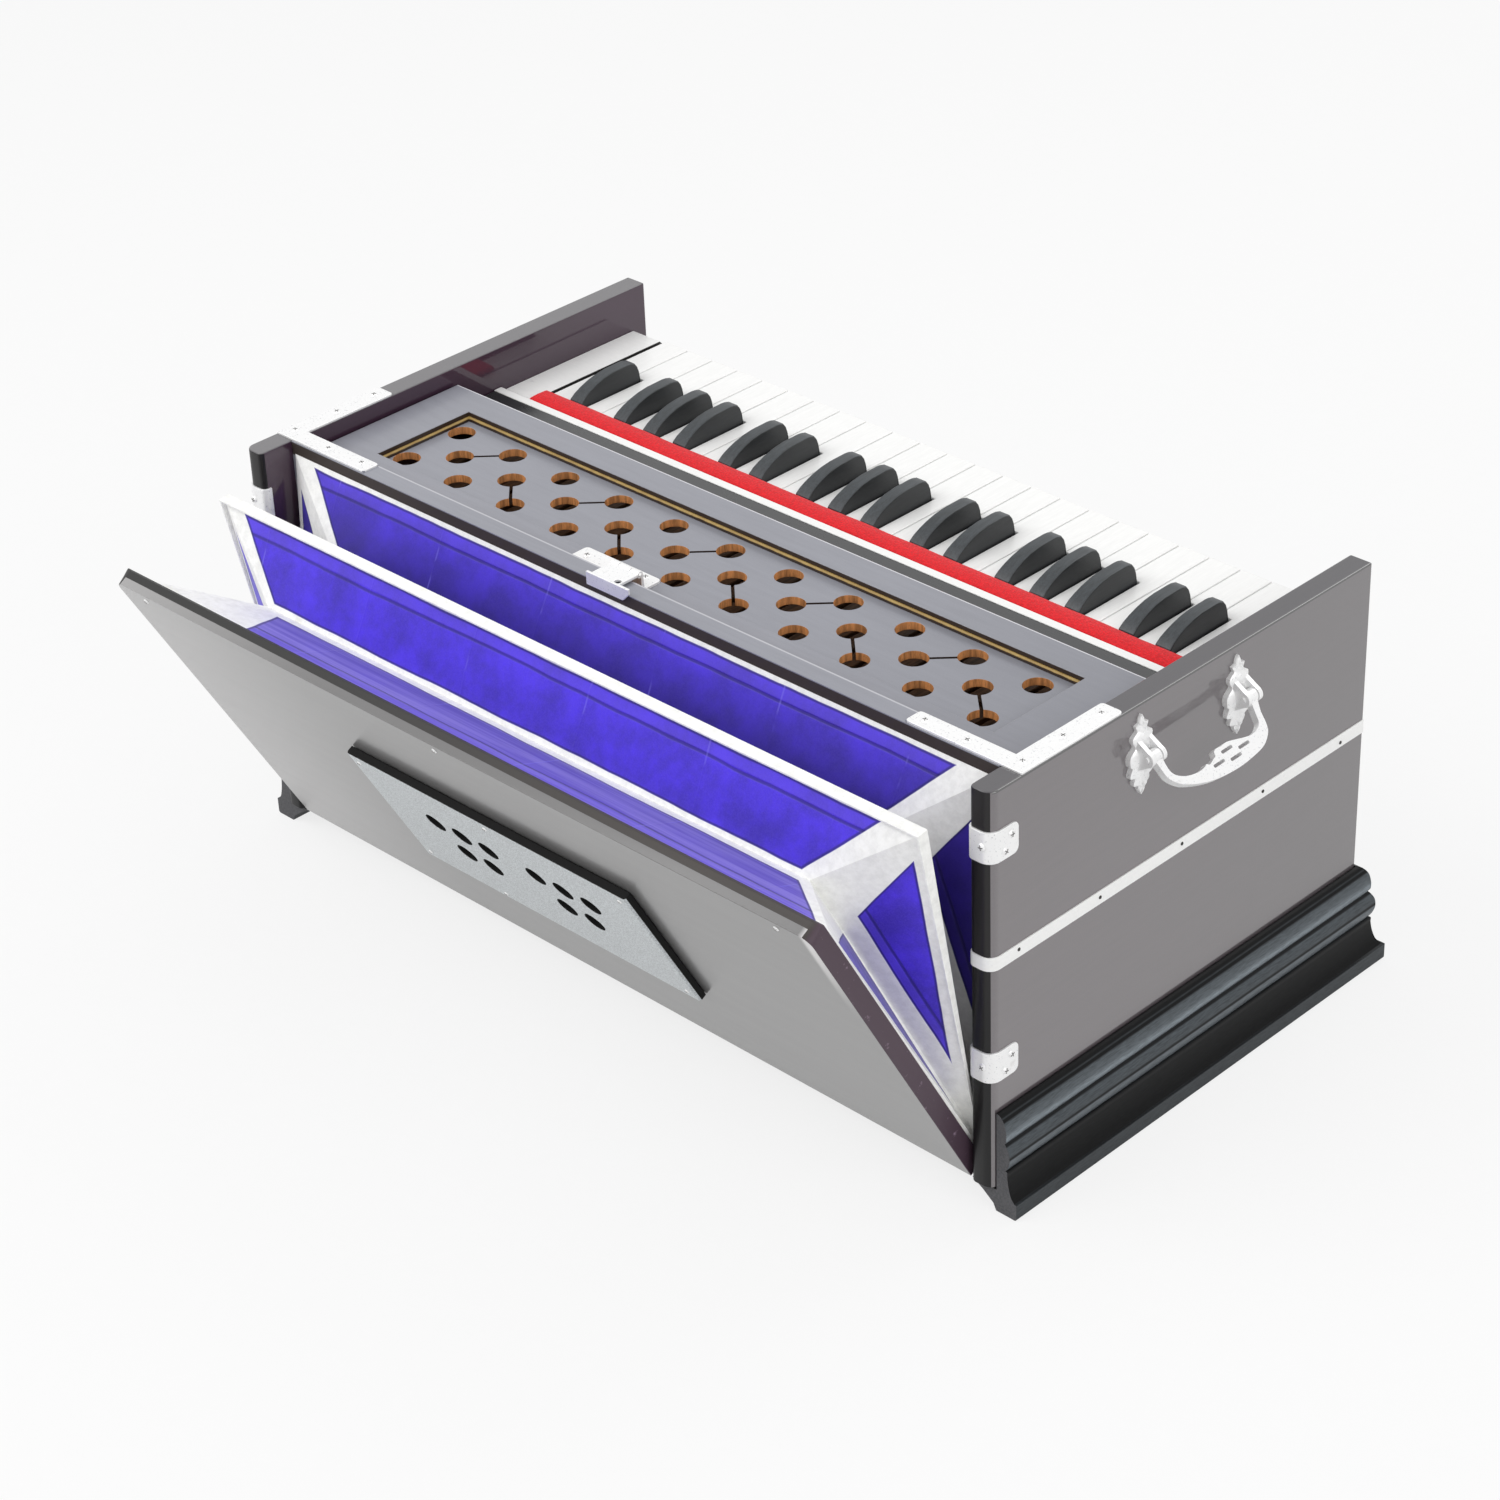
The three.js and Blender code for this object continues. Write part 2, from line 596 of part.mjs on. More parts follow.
// Cover frame: its window shows the perforated panel, which sits in a rebate from below
function makeCover() {
  const bottom = coverTop - cover.thick;
  const panelTop = coverTop - recess.depth;
  const frame = block(-coverHalf, coverHalf, cover.front, cover.back, bottom, coverTop);
  const windowHalf = coverHalf - cover.sideRail;
  const y0 = cover.front + cover.frontRail;
  const y1 = cover.back - cover.backRail;
  const window = block(-windowHalf, windowHalf, y0, y1, bottom - overrun, coverTop + overrun);
  const seatHalf = windowHalf + recess.rebate;
  const seatSpan = [y0 - recess.rebate, y1 + recess.rebate];
  const seat = block(-seatHalf, seatHalf, ...seatSpan, bottom - overrun, panelTop);
  const footBack = catchFoot.front + catchFoot.depth;
  const footTop = coverTop + catchFoot.thick;
  const footLow = coverTop - catchFoot.thick;
  const foot = block(catchFoot.left, catchFoot.right, catchFoot.front, footBack, footLow, footTop);
  const riserBack = catchSeat.front + catchSeat.depth;
  const riser = block(catchSeat.left, catchFoot.right, catchSeat.front, riserBack, bottom, catchStrapTop);
  addPiece('cover_frame', join(cut(frame, window, seat), foot, riser), 'top');

  const panelHalf = seatHalf - fitGap;
  const front = y0 - recess.rebate + fitGap;
  const rear = y1 + recess.rebate - fitGap;
  const sheet = block(-panelHalf, panelHalf, front, rear, bottom, panelTop - fitGap);
  const pitch = 2 * windowHalf * holePitchShare;
  const radius = (y1 - y0) * holeRadiusShare;
  const rowPitch = (y1 - y0) * holeRowShare;
  const drill = (x, y) => rodZ(radius, x, y, bottom - overrun, coverTop, hole.sides);
  const rowY = (row) => y0 + (y1 - y0) * firstRowShare + row * rowPitch;
  const first = hole.shift - pitch * (holesInOuterRow - 1) / 2;
  const tools = [];
  for (let i = 0; i < holesInOuterRow; i += 1) {
    tools.push(drill(first + i * pitch, rowY(0)), drill(first + i * pitch, rowY(2)));
  }
  for (let i = 0; i < holesInOuterRow - 1; i += 1) {
    const x = first + (i + 0.5) * pitch;
    tools.push(drill(x, rowY(1)));
    const rowStep = i % 2 === 0 ? rowPitch : -rowPitch;
    const length = Math.hypot(pitch / 2, rowPitch);
    const joinHalf = hole.joinWidth / 2;
    const fineSlot = block(0, length, -joinHalf, joinHalf, bottom - overrun, coverTop);
    tools.push(fineSlot.rotateZ(Math.atan2(rowStep, pitch / 2)).translate(x, rowY(1), 0));
  }
  addPiece('sound_panel', cut(sheet, ...tools), 'top');
}

// Catch strap: a barrel at the seat, a flat over the wall with a hole, and a lip in front of the wall
function makeCatch() {
  const flatLow = catchStrapTop - catchStrap.thick;
  const lipInner = wall.setback - catchLip.gap;
  const lipOuter = lipInner - catchStrap.thick;
  const barrelY = catchSeat.front - catchBarrel.gap - catchBarrel.radius;
  const left = catchStrap.left;
  const right = catchStrap.right;
  const flat = block(left, right, lipOuter, barrelY, flatLow, catchStrapTop);
  const low = bodyHeight - catchLip.drop;
  const high = catchStrapTop + catchLip.rise;
  const lip = alongY([
    [left, low],
    [catchLip.right - catchLip.corner, low],
    [catchLip.right, low + catchLip.corner],
    [catchLip.right, high],
    [left, high],
  ], lipOuter, lipInner);
  const barrel = rodX(catchBarrel.radius, left, right, barrelY, catchStrapTop - catchStrap.thick / 2, 12);
  const boreY = lipInner + catchStrap.holeInset;
  const boreSpan = [flatLow - overrun, catchStrapTop + overrun];
  const bore = rodZ(catchStrap.holeRadius, catchStrap.holeX, boreY, ...boreSpan, 12);
  addPiece('cover_catch', cut(join(flat, lip, barrel), bore), 'nickel');
}

// Rail over the key levers, with a light strip along its rear edge and the felt behind that
function makeRailAndFelt() {
  const end = innerHalf - fitGap;
  const under = keyRail.top - keyRail.thick;
  const strip = keyRail.back - keyRail.stripDepth;
  const section = [
    [keyRail.front, under],
    [keyRail.back, under],
    [keyRail.back, keyRail.top + keyRail.stripRise],
    [strip, keyRail.top + keyRail.stripRise],
    [strip, keyRail.top],
    [keyRail.front, keyRail.top],
  ];
  addPiece('key_rail', alongX(section, -end, end), 'rail');
  const front = keyRail.back + fitGap;
  const back = front + felt.depth;
  const feltSection = [
    [front, felt.top - felt.height],
    [back, felt.top - felt.height],
    [back, felt.top - felt.crown],
    [back - felt.crown, felt.top],
    [front + felt.crown, felt.top],
    [front, felt.top - felt.crown],
  ];
  addPiece('felt_strip', alongX(feltSection, fieldTreble, fieldBass), 'felt');
}

// Bellows board: upright in its own group, which leans out about its bottom edge
function airHoles(y0, y1) {
  const tools = [];
  for (const side of [-1, 1]) {
    for (let i = 0; i < 5; i += 1) {
      const upper = i < 3;
      const across = upper ? (i - 1) * airHole.pitch : (i - 3.5) * airHole.pitch;
      const z = upper ? airHole.topRow : airHole.topRow - airHole.rowPitch;
      tools.push(rodY(airHole.radius, side * airHole.clusterX + across, y0, y1, z, airHole.sides));
    }
  }
  return tools;
}

function makeBoard() {
  const end = board.length / 2;
  const c = board.chamfer;
  const section = [
    [0, 0],
    [0, board.height - c],
    [-c, board.height],
    [-board.thick, board.height],
    [-board.thick, 0],
  ];
  const bare = alongX(section, -end, end);
  const flapHalf = flap.width / 2;
  const pad = block(-flapHalf, flapHalf, -c, flap.thick, flap.bottom, flap.bottom + flap.height);
  const drilled = cut(bare, ...airHoles(-board.thick - overrun, -c / 2));
  addPiece('bellows_board', join(drilled, pad), 'boardFace', boardGroup);

  const back = -board.thick - fitGap;
  const face = back - plate.thick;
  const w = plate.width / 2;
  const facing = [
    [-w, back],
    [-w, face + plate.bevel],
    [-w + plate.bevel, face],
    [w - plate.bevel, face],
    [w, face + plate.bevel],
    [w, back],
  ];
  const sheet = alongZ(facing, plate.bottom, plate.bottom + plate.height);
  addPiece('intake_plate', cut(sheet, ...airHoles(face - overrun, back + overrun)), 'plate', boardGroup);
}

// A pleat is a thin shell folded in at a valley between two frames that fan out from the hinge line.
// Each frame is a function of an inset: 0 for the outside of the leaves, their wall for the inside.
function loft(from, to) {
  const positions = [];
  for (const [[bottomHalf, bottomY, bottomZ], [topHalf, topY, topZ]] of [from, to]) {
    positions.push(-bottomHalf, bottomY, bottomZ, bottomHalf, bottomY, bottomZ);
    positions.push(topHalf, topY, topZ, -topHalf, topY, topZ);
  }
  const geometry = new THREE.BufferGeometry();
  geometry.setAttribute('position', new THREE.BufferAttribute(new Float32Array(positions), 3));
  const index = [0, 2, 1, 0, 3, 2, 4, 5, 6, 4, 6, 7];
  for (let i = 0; i < 4; i += 1) {
    const j = (i + 1) % 4;
    index.push(i, j, 4 + j, i, 4 + j, 4 + i);
  }
  geometry.setIndex(index);
  return geometry;
}

function fanFrame(angle, radius, offset, topInset = 0) {
  const point = (r) => [
    board.hingeY - r * Math.sin(angle) + offset * Math.cos(angle),
    board.hingeZ + r * Math.cos(angle) + offset * Math.sin(angle),
  ];
  return (inset) => [
    [pleat.halfLength - inset, ...point(pleat.foot + inset)],
    [pleat.halfLength - topInset - inset, ...point(radius - inset)],
  ];
}

// The frame moved away from its neighbour by a share of the distance between them
function beyond(frame, other) {
  const openShare = 0.02;
  return frame.map((corner, i) => corner.map((v, k) => v + (v - other[i][k]) * openShare));
}

function pleatShell(near, valley, far) {
  const hollow = (a, b) => loft(beyond(a(pleat.wall), b(pleat.wall)), beyond(b(pleat.wall), a(pleat.wall)));
  const outside = join(loft(near(0), valley(0)), loft(valley(0), far(0)));
  return cut(outside, hollow(near, valley), hollow(valley, far));
}

function makeBellows() {
  const wallFrame = fanFrame(0, pleat.wallRidge, wall.setback - fitGap - board.hingeY);
  const valley1 = fanFrame(rearValley.angle, rearValley.radius, 0, rearValley.inset);
  const ridgeRear = fanFrame(ridgeAngle, pleat.ridge, fitGap / 2);
  addPiece('bellows_rear_pleat', pleatShell(wallFrame, valley1, ridgeRear), 'bellows');
  const ridgeFront = fanFrame(ridgeAngle, pleat.ridge, -fitGap / 2);
  const valley2 = fanFrame(frontValley.angle, frontValley.radius, 0, frontValley.inset);
  const boardFrame = fanFrame(boardAngle, pleat.boardRidge, fitGap);
  addPiece('bellows_front_pleat', pleatShell(ridgeFront, valley2, boardFrame), 'bellows');

  const r = ridgeStrip.radius;
  const w = ridgeStrip.halfWidth;
  const t = ridgeStrip.thick;
  const cap = [
    [0, r],
    [-w, r - ridgeStrip.drop],
    [-w, r - ridgeStrip.drop - t],
    [0, r - t],
    [w, r - ridgeStrip.drop - t],
    [w, r - ridgeStrip.drop],
  ];
  addPiece('bellows_ridge_strip', alongX(cap, -pleat.halfLength, pleat.halfLength), 'tape', ridgeGroup);
}

// Bail handle: a squared loop of wire with an eye at each end and a pierced web on the player's half
function bailShape() {
  const steps = 28;
  const points = [];
  for (let i = 0; i <= steps; i += 1) {
    const angle = Math.PI * i / steps;
    const side = -Math.sign(Math.cos(angle));
    const bend = side < 0 ? bendShares.bellowsSide : bendShares.playerSide;
    const along = side * Math.abs(Math.cos(angle)) ** bend;
    const out = Math.sin(angle) ** bend;
    points.push(new THREE.Vector3(0, along * handle.halfSpan, -out * handle.reach));
  }
  const ring = new THREE.Shape();
  ring.absarc(0, 0, bail.radius, 0, 2 * Math.PI, false);
  const path = new THREE.CatmullRomCurve3(points);
  const sweep = { steps: 36, curveSegments: 8, extrudePath: path, bevelEnabled: false };
  const wire = new THREE.ExtrudeGeometry(ring, sweep);
  const place = ([across, out]) => [across * handle.halfSpan, -out * handle.reach];
  const web = alongX(webShares.map(place), -bail.webThick / 2, bail.webThick / 2);
  const slits = slitShares.map((share) => {
    const [y, z] = place(share);
    const l = slit.length / 2;
    const h = slit.height / 2;
    return block(-bail.webThick, bail.webThick, y - l, y + l, z - h, z + h);
  });
  const ends = [-1, 1].map((side) => side * handle.halfSpan);
  const eyes = ends.map((y) => rodY(bail.eyeRadius, 0, y - bail.eyeWidth / 2, y + bail.eyeWidth / 2, 0, 12));
  const bores = ends.map((y) => rodY(bail.boreRadius, 0, y - bail.eyeWidth, y + bail.eyeWidth, 0, 10));
  return cut(join(wire, web, ...eyes), ...slits, ...bores);
}

function makeHandles() {
  const pivotX = half + handle.offset;
  const tilted = bailShape().rotateY(-THREE.MathUtils.degToRad(handle.tilt));
  const right = addPiece('right_handle', tilted, 'nickel');
  right.position.set(pivotX, handle.y, handle.z);
  const left = addPiece('left_handle', mirrored(tilted), 'nickel');
  left.position.set(-pivotX, handle.y, handle.z);
}

makeCase();
makeEndPanels();
makeMouldings();
makeReedBoard();
makeRailAndFelt();
makeKeyBlocks();
makeCover();
makeCatch();
makeBoard();
makeBellows();
makeHandles();
makeKeys();

boardGroup.position.set(0, board.hingeY, board.hingeZ);
boardGroup.rotation.x = boardAngle;
ridgeGroup.position.set(0, board.hingeY, board.hingeZ);
ridgeGroup.rotation.x = ridgeAngle;
harmonium.add(boardGroup, ridgeGroup);

// The origin is on the floor under the middle of the whole instrument, open board included
const reachFront = board.hingeY - board.thick * Math.cos(boardAngle) - board.height * Math.sin(boardAngle);
const reachBack = bodyDepth + moulding.reach;
harmonium.position.y = -(reachFront + reachBack) / 2;

export default harmonium;
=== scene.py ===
"""Indian harmonium with its bellows open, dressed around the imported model. Sizes inside the
modelling code are in millimetres, in the source's own frame, and place() turns them to metres."""
import math

import bmesh
import bpy
from bpy.props import FloatProperty, FloatVectorProperty, PointerProperty
from mathutils import Matrix, Vector


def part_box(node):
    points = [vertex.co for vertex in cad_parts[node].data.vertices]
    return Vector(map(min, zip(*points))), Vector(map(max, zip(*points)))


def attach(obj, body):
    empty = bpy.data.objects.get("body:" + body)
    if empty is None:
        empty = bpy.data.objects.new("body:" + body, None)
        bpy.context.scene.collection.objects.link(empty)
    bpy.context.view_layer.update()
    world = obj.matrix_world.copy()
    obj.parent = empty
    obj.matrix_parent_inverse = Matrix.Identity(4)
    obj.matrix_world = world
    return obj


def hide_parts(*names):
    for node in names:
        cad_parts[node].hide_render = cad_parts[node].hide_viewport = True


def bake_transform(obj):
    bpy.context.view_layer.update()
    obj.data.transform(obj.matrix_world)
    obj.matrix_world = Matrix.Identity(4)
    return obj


bl_info = {
    "name": "Indian Harmonium",
    "version": (1, 0, 0),
    "blender": (4, 5, 0),
    "location": "View3D > Sidebar > Harmonium",
    "description": "Models an Indian harmonium with its keys, pierced cover and folding bellows",
    "category": "Add Mesh",
}

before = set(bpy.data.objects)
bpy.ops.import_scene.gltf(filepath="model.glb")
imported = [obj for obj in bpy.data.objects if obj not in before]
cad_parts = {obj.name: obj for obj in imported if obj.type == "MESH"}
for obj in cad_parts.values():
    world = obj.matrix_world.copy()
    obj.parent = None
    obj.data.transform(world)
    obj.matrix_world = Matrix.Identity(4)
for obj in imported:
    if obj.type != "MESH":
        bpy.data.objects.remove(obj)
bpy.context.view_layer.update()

# Main sizes of the instrument
HALF = 280.0
INNER_HALF = 266.0
DEPTH = 302.0
HEIGHT = 252.0
LIFT = 14.0
WALL_FRONT = 22.7
WALL_BACK = 34.7
GAP = 0.3
INLAY_Z = 152.6
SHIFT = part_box("case_body")[1].y * 1000 - DEPTH

# Bellows: hinge line, angles of the frames and how far each fold goes in
HINGE = (12.2, 19.7)
BOARD_ANGLE = 28.87
RIDGE_ANGLE = 10.94
BELLOWS_HALF = 263.0
FOOT = 14.0
WALL_RADIUS, RIDGE_RADIUS, BOARD_RADIUS = 225.0, 221.5, 221.0
# Valleys of the two folds: angle, radius, offset and how far their top corners lie in
REAR_VALLEY = (3, 186.0, 0, 51.0)
FRONT_VALLEY = (19.3, 187.5, 0, 56.0)

# Keyboard
KEY_COUNT = 39
BLACK_STEPS = (1, 3, 6, 8, 10)
WHITE_PITCH = 21.1
FIELD_BASS = 23 * WHITE_PITCH / 2 + 1.65
FIELD_TREBLE = FIELD_BASS - 23 * WHITE_PITCH
LANE_PITCH = WHITE_PITCH * 7 / 12
BLACK_FRONT = 245.0
WHITE_FRONT = 293.0
NOTCH_GAP = 1.4
KEY_RELIEF, LAST_KEY_INSET = 0.8, 0.9
KEY_LINE = 182.0
KEY_TOP = 224.0

# Handles
PIVOT_X = 289.5
PIVOT_Z = 226.0
PIVOTS_Y = (111.0, 187.6)
BAIL_TILT = math.radians(43.5)


def size(label, text, default):
    return FloatProperty(name=label, description=text, default=default, min=0.0, subtype="DISTANCE", unit="LENGTH")


def tint(label, text, default):
    return FloatVectorProperty(name=label, description=text, default=default, min=0.0, max=1.0, size=3,
                               subtype="COLOR_GAMMA")


def share(label, text, default):
    return FloatProperty(name=label, description=text, default=default, min=0.0, max=1.0, subtype="FACTOR")


class HarmoniumCaseSettings(bpy.types.PropertyGroup):
    edge_round: size("Edge rounding", "Rounding of the wooden edges", 0.0009)
    inlay_width: size("Inlay width", "Width of the pale strip on the end panels", 0.008)
    inlay_rise: size("Inlay rise", "How far the pale strip stands proud", 0.0007)
    clip_height: size("Clip height", "Height of the edge clips", 0.018)


class HarmoniumCoverSettings(bpy.types.PropertyGroup):
    hole_radius: size("Hole radius", "Radius of the sound holes", 0.008)
    slot_width: size("Slot width", "Width of the fine slots that join the holes", 0.0018)
    bead_width: size("Bead width", "Width of the bead in the recess", 0.0016)


class HarmoniumKeySettings(bpy.types.PropertyGroup):
    white_round: size("White key rounding", "Rounding of the white keys' edges", 0.0007)
    black_round: size("Black key rounding", "Rounding of the black keys' edges", 0.0008)
    felt_crown: size("Felt crown", "Rounding of the felt strip", 0.0012)


class HarmoniumBellowsSettings(bpy.types.PropertyGroup):
    cloth_thick: size("Cloth thickness", "Thickness of the bellows leaves", 0.0012)
    ridge_tape: size("Ridge tape", "Half the width of the tape over the ridge", 0.0035)
    board_round: size("Board rounding", "Rounding of the board's edges", 0.0022)


class HarmoniumFinishSettings(bpy.types.PropertyGroup):
    panel: tint("End panels", "Satin stain of the end panels", (0.335, 0.305, 0.32))
    moulding: tint("Mouldings", "Stain of the base mouldings", (0.305, 0.325, 0.34))
    top: tint("Top", "Paint of the cover and the wall's top", (0.545, 0.55, 0.585))
    wood: tint("Bare wood", "Bare wood inside and in the holes", (0.72, 0.50, 0.31))
    rail: tint("Rail", "Dark rail behind the cover", (0.09, 0.10, 0.11))
    felt: tint("Felt", "Felt strip at the keys", (0.89, 0.07, 0.12))
    ivory: tint("Ivory", "White keys and key blocks", (0.975, 0.975, 0.97))
    ebony: tint("Ebony", "Black keys", (0.185, 0.205, 0.22))
    metal: tint("Metal", "Bright metal fittings", (0.965, 0.965, 0.965))
    board: tint("Board", "Satin face of the bellows board", (0.545, 0.54, 0.54))
    plate: tint("Plate", "Speckled air plate", (0.77, 0.79, 0.80))
    cloth: tint("Cloth", "Bellows cloth", (0.28, 0.165, 0.86))
    tape: tint("Tape", "White leather tape", (0.985, 0.985, 0.975))


class HarmoniumStageSettings(bpy.types.PropertyGroup):
    floor_half: size("Floor", "Half the width of the floor", 6.0)
    key_power: FloatProperty(name="Key light", description="Power of the large soft lamp", default=26.0, min=0.0,
                             unit="POWER")
    fill_power: FloatProperty(name="Fill light", description="Power of the weaker lamps", default=9.0, min=0.0,
                              unit="POWER")
    sky: share("Sky", "Strength of the even light from all sides", 0.62)


# Shader expressions: a socket that works in Python sums, and one method for every node
class Value:
    """One output of a node, or a plain number, for use in expressions."""

    def __init__(self, paint, socket):
        self.paint = paint
        self.socket = socket

    def _math(self, operation, first, second):
        return self.paint.node("ShaderNodeMath", {"operation": operation}, {0: first, 1: second})[0]

    def __add__(self, other):
        return self._math("ADD", self, other)

    def __radd__(self, other):
        return self._math("ADD", other, self)

    def __sub__(self, other):
        return self._math("SUBTRACT", self, other)

    def __rsub__(self, other):
        return self._math("SUBTRACT", other, self)

    def __mul__(self, other):
        return self._math("MULTIPLY", self, other)

    def __rmul__(self, other):
        return self._math("MULTIPLY", other, self)

    def __truediv__(self, other):
        return self._math("DIVIDE", self, other)

    def least(self, other):
        return self._math("MINIMUM", self, other)

    def most(self, other):
        return self._math("MAXIMUM", self, other)

    def step(self, low, high):
        """0 below low and 1 above high, smooth between; the other way round when high is less."""
        if low < high:
            return self.paint.node("ShaderNodeMapRange", {"interpolation_type": "SMOOTHSTEP"},
                                   {"Value": self, "From Min": low, "From Max": high})["Result"]
        return 1 - self.step(high, low)

    def band(self, centre, width, soft):
        """1 within width around centre, 0 outside, with soft edges."""
        far = self.paint.node("ShaderNodeMath", {"operation": "ABSOLUTE"}, {0: self - centre})[0]
        return far.step(width / 2 + soft, width / 2)


class Made:
    """A node that was added, whose outputs are read by name or number."""

    def __init__(self, paint, node):
        self.paint = paint
        self.node = node

    def __getitem__(self, key):
        return Value(self.paint, self.node.outputs[key])


class Paint:
    """A material being mixed, or the world when it is given."""

    def __init__(self, name, owner=None):
        self.material = owner or bpy.data.materials.new(name)
        self.material.use_nodes = True
        self.tree = self.material.node_tree
        self.tree.nodes.clear()
        self.cache = {}

    def node(self, kind, settings=None, inputs=None):
        node = self.tree.nodes.new(kind)
        for key, value in (settings or {}).items():
            if key == "stops":
                ramp = node.color_ramp
                while len(ramp.elements) < len(value):
                    ramp.elements.new(1.0)
                for element, (place_at, colour) in zip(ramp.elements, value):
                    element.position = place_at
                    element.color = (*colour, 1.0)
            else:
                setattr(node, key, value)
        for key, value in (inputs or {}).items():
            socket = node.inputs[key]
            if isinstance(value, Value):
                self.tree.links.new(value.socket, socket)
            elif hasattr(value, "__len__") and socket.type == "RGBA":
                socket.default_value = (*value, 1.0)
            else:
                socket.default_value = value
        return Made(self, node)

    def mix(self, factor, first, second):
        return self.node("ShaderNodeMix", {"data_type": "RGBA"}, {0: factor, 6: first, 7: second})[2]

    def ramp(self, factor, stops):
        return self.node("ShaderNodeValToRGB", {"stops": stops}, {"Fac": factor})["Color"]

    def where(self):
        if "where" not in self.cache:
            self.cache["where"] = self.node("ShaderNodeTexCoord")["Object"]
        return self.cache["where"]

    def axes(self):
        if "axes" not in self.cache:
            parts = self.node("ShaderNodeSeparateXYZ", {}, {0: self.where()})
            self.cache["axes"] = (parts["X"], parts["Y"], parts["Z"])
        return self.cache["axes"]

    def mark(self, name):
        """1 on the faces that carry a mark and 0 on the others."""
        return self.node("ShaderNodeAttribute", {"attribute_name": name})["Fac"].step(0.45, 0.55)

    def noise(self, scale, detail=3.0, stretch=(1, 1, 1), rough=0.5):
        mapped = self.node("ShaderNodeMapping", {}, {"Vector": self.where(), "Scale": stretch})["Vector"]
        return self.node("ShaderNodeTexNoise", {}, {"Vector": mapped, "Scale": scale, "Detail": detail,
                                                    "Roughness": rough})["Fac"]

    def bump(self, height, strength, distance):
        return self.node("ShaderNodeBump", {}, {"Height": height, "Strength": strength,
                                                "Distance": distance})["Normal"]

    def direct_rays(self):
        """1 for what the camera sees, straight, in a reflection or through something."""
        rays = self.node("ShaderNodeLightPath")
        return rays["Is Camera Ray"].most(rays["Is Glossy Ray"]).most(rays["Is Transmission Ray"])

    def surface(self, **inputs):
        names = {key.replace("_", " ").title().replace("Ior", "IOR"): value for key, value in inputs.items()}
        shader = self.node("ShaderNodeBsdfPrincipled", {}, names)
        self.output(shader["BSDF"])
        return self.material

    def output(self, shader):
        self.node("ShaderNodeOutputMaterial", {}, {"Surface": shader})


def linear(colour):
    """A colour as seen on screen, as the light amounts that a shader takes."""
    return tuple(c / 12.92 if c <= 0.04045 else ((c + 0.055) / 1.055) ** 2.4 for c in colour)


def shade(colour, amount):
    return tuple(min(1.0, c * amount) for c in colour)


# Finishes
def satin(name, colour, stretch, rough=0.34, coat=0.25, streak=0.13, speck=0.08):
    """Stained or painted wood under a satin lacquer, with streaks along its grain and fine specks."""
    paint = Paint(name)
    grain = paint.noise(26.0, 6.0, stretch, 0.6)
    cloud = paint.noise(5.0, 2.0)
    specks = paint.noise(1500.0, 2.0)
    tone = 1.0 - streak / 2 + grain * streak + (cloud - 0.5) * 0.10 + (specks - 0.5) * speck
    base = linear(colour)
    colour_out = paint.mix(tone.step(0.7, 1.3), shade(base, 0.62), shade(base, 1.42))
    handled = paint.noise(60.0, 4.0)
    roughness = rough - 0.05 + grain * 0.06 + (handled - 0.5) * 0.08
    normal = paint.bump(grain * 0.6 + specks * 0.4, 0.18, 0.0004)
    return paint, colour_out, roughness, normal, coat


def satin_material(name, colour, stretch, **options):
    paint, colour_out, roughness, normal, coat = satin(name, colour, stretch, **options)
    return paint.surface(base_color=colour_out, roughness=roughness, normal=normal, coat_weight=coat,
                         coat_roughness=0.16)


def wood_colour(paint, colour, stretch):
    """Bare wood: darker rings and pores along the grain. Returns its colour and its grain."""
    rings = paint.noise(34.0, 5.0, stretch, 0.62)
    pores = paint.noise(420.0, 2.0, stretch, 0.5)
    base = linear(colour)
    tone = paint.mix(rings.step(0.35, 0.68), shade(base, 1.25), shade(base, 0.48))
    return paint.mix(pores.step(0.56, 0.72) * 0.6, tone, shade(base, 0.3)), rings


def case_finish(finish):
    """Grey paint outside and on top, a dark band of painted shade at the top of the front wall's face, a painted
    highlight line along the wall top's rear edge, and bare wood inside.
    """
    paint, outside, roughness, normal, coat = satin("Case paint", finish.top, (1, 12, 12))
    _, y, z = paint.axes()
    bare, _ = wood_colour(paint, finish.wood, (1, 14, 14))
    front = (WALL_FRONT + 0.5 + SHIFT) / 1000
    back = (DEPTH - 0.4 + SHIFT) / 1000
    outer = y.step(front + 0.0004, front).most(y.step(back - 0.0004, back)).most(z.step(0.2508, 0.2512))
    outer = outer.most(z.step(0.0146, 0.0142))
    # Painted shade: the front wall's face is dark along its top.
    dark = y.step(front + 0.0004, front) * z.step(0.2436, 0.2440) * z.step(0.2516, 0.2512)
    colour_out = paint.mix(outer, bare, outside)
    colour_out = paint.mix(dark, colour_out, linear((0.20, 0.165, 0.145)))
    # Painted highlight: a pale line along the rear edge of the wall's top.
    rear_edge_highlight = y.band((WALL_BACK - 0.5 + SHIFT) / 1000, 0.0008, 0.0003) * z.step(0.2512, 0.2516) * outer
    colour_out = paint.mix(rear_edge_highlight * 0.6, colour_out, linear((0.82, 0.82, 0.84)))
    return paint.surface(base_color=colour_out, roughness=roughness + (1 - outer) * 0.3 + dark * 0.3,
                         normal=normal, coat_weight=outer * (1 - dark) * coat, coat_roughness=0.16)


def reed_finish(finish):
    """Pale wood for the reed board, with brass for the reeds under it."""
    paint = Paint("Reed board wood and brass")
    z = paint.axes()[2]
    bare, rings = wood_colour(paint, finish.wood, (1, 14, 14))
    brass = z.step(0.19195, 0.19175)
    scratches = paint.noise(160.0, 3.0, (14, 1, 1))
    metal = paint.mix(scratches, linear((0.74, 0.58, 0.30)), linear((0.93, 0.80, 0.50)))
    return paint.surface(base_color=paint.mix(brass, bare, metal), metallic=brass,
                         roughness=0.62 - brass * 0.3 + rings * 0.08, normal=paint.bump(rings, 0.2, 0.0004))


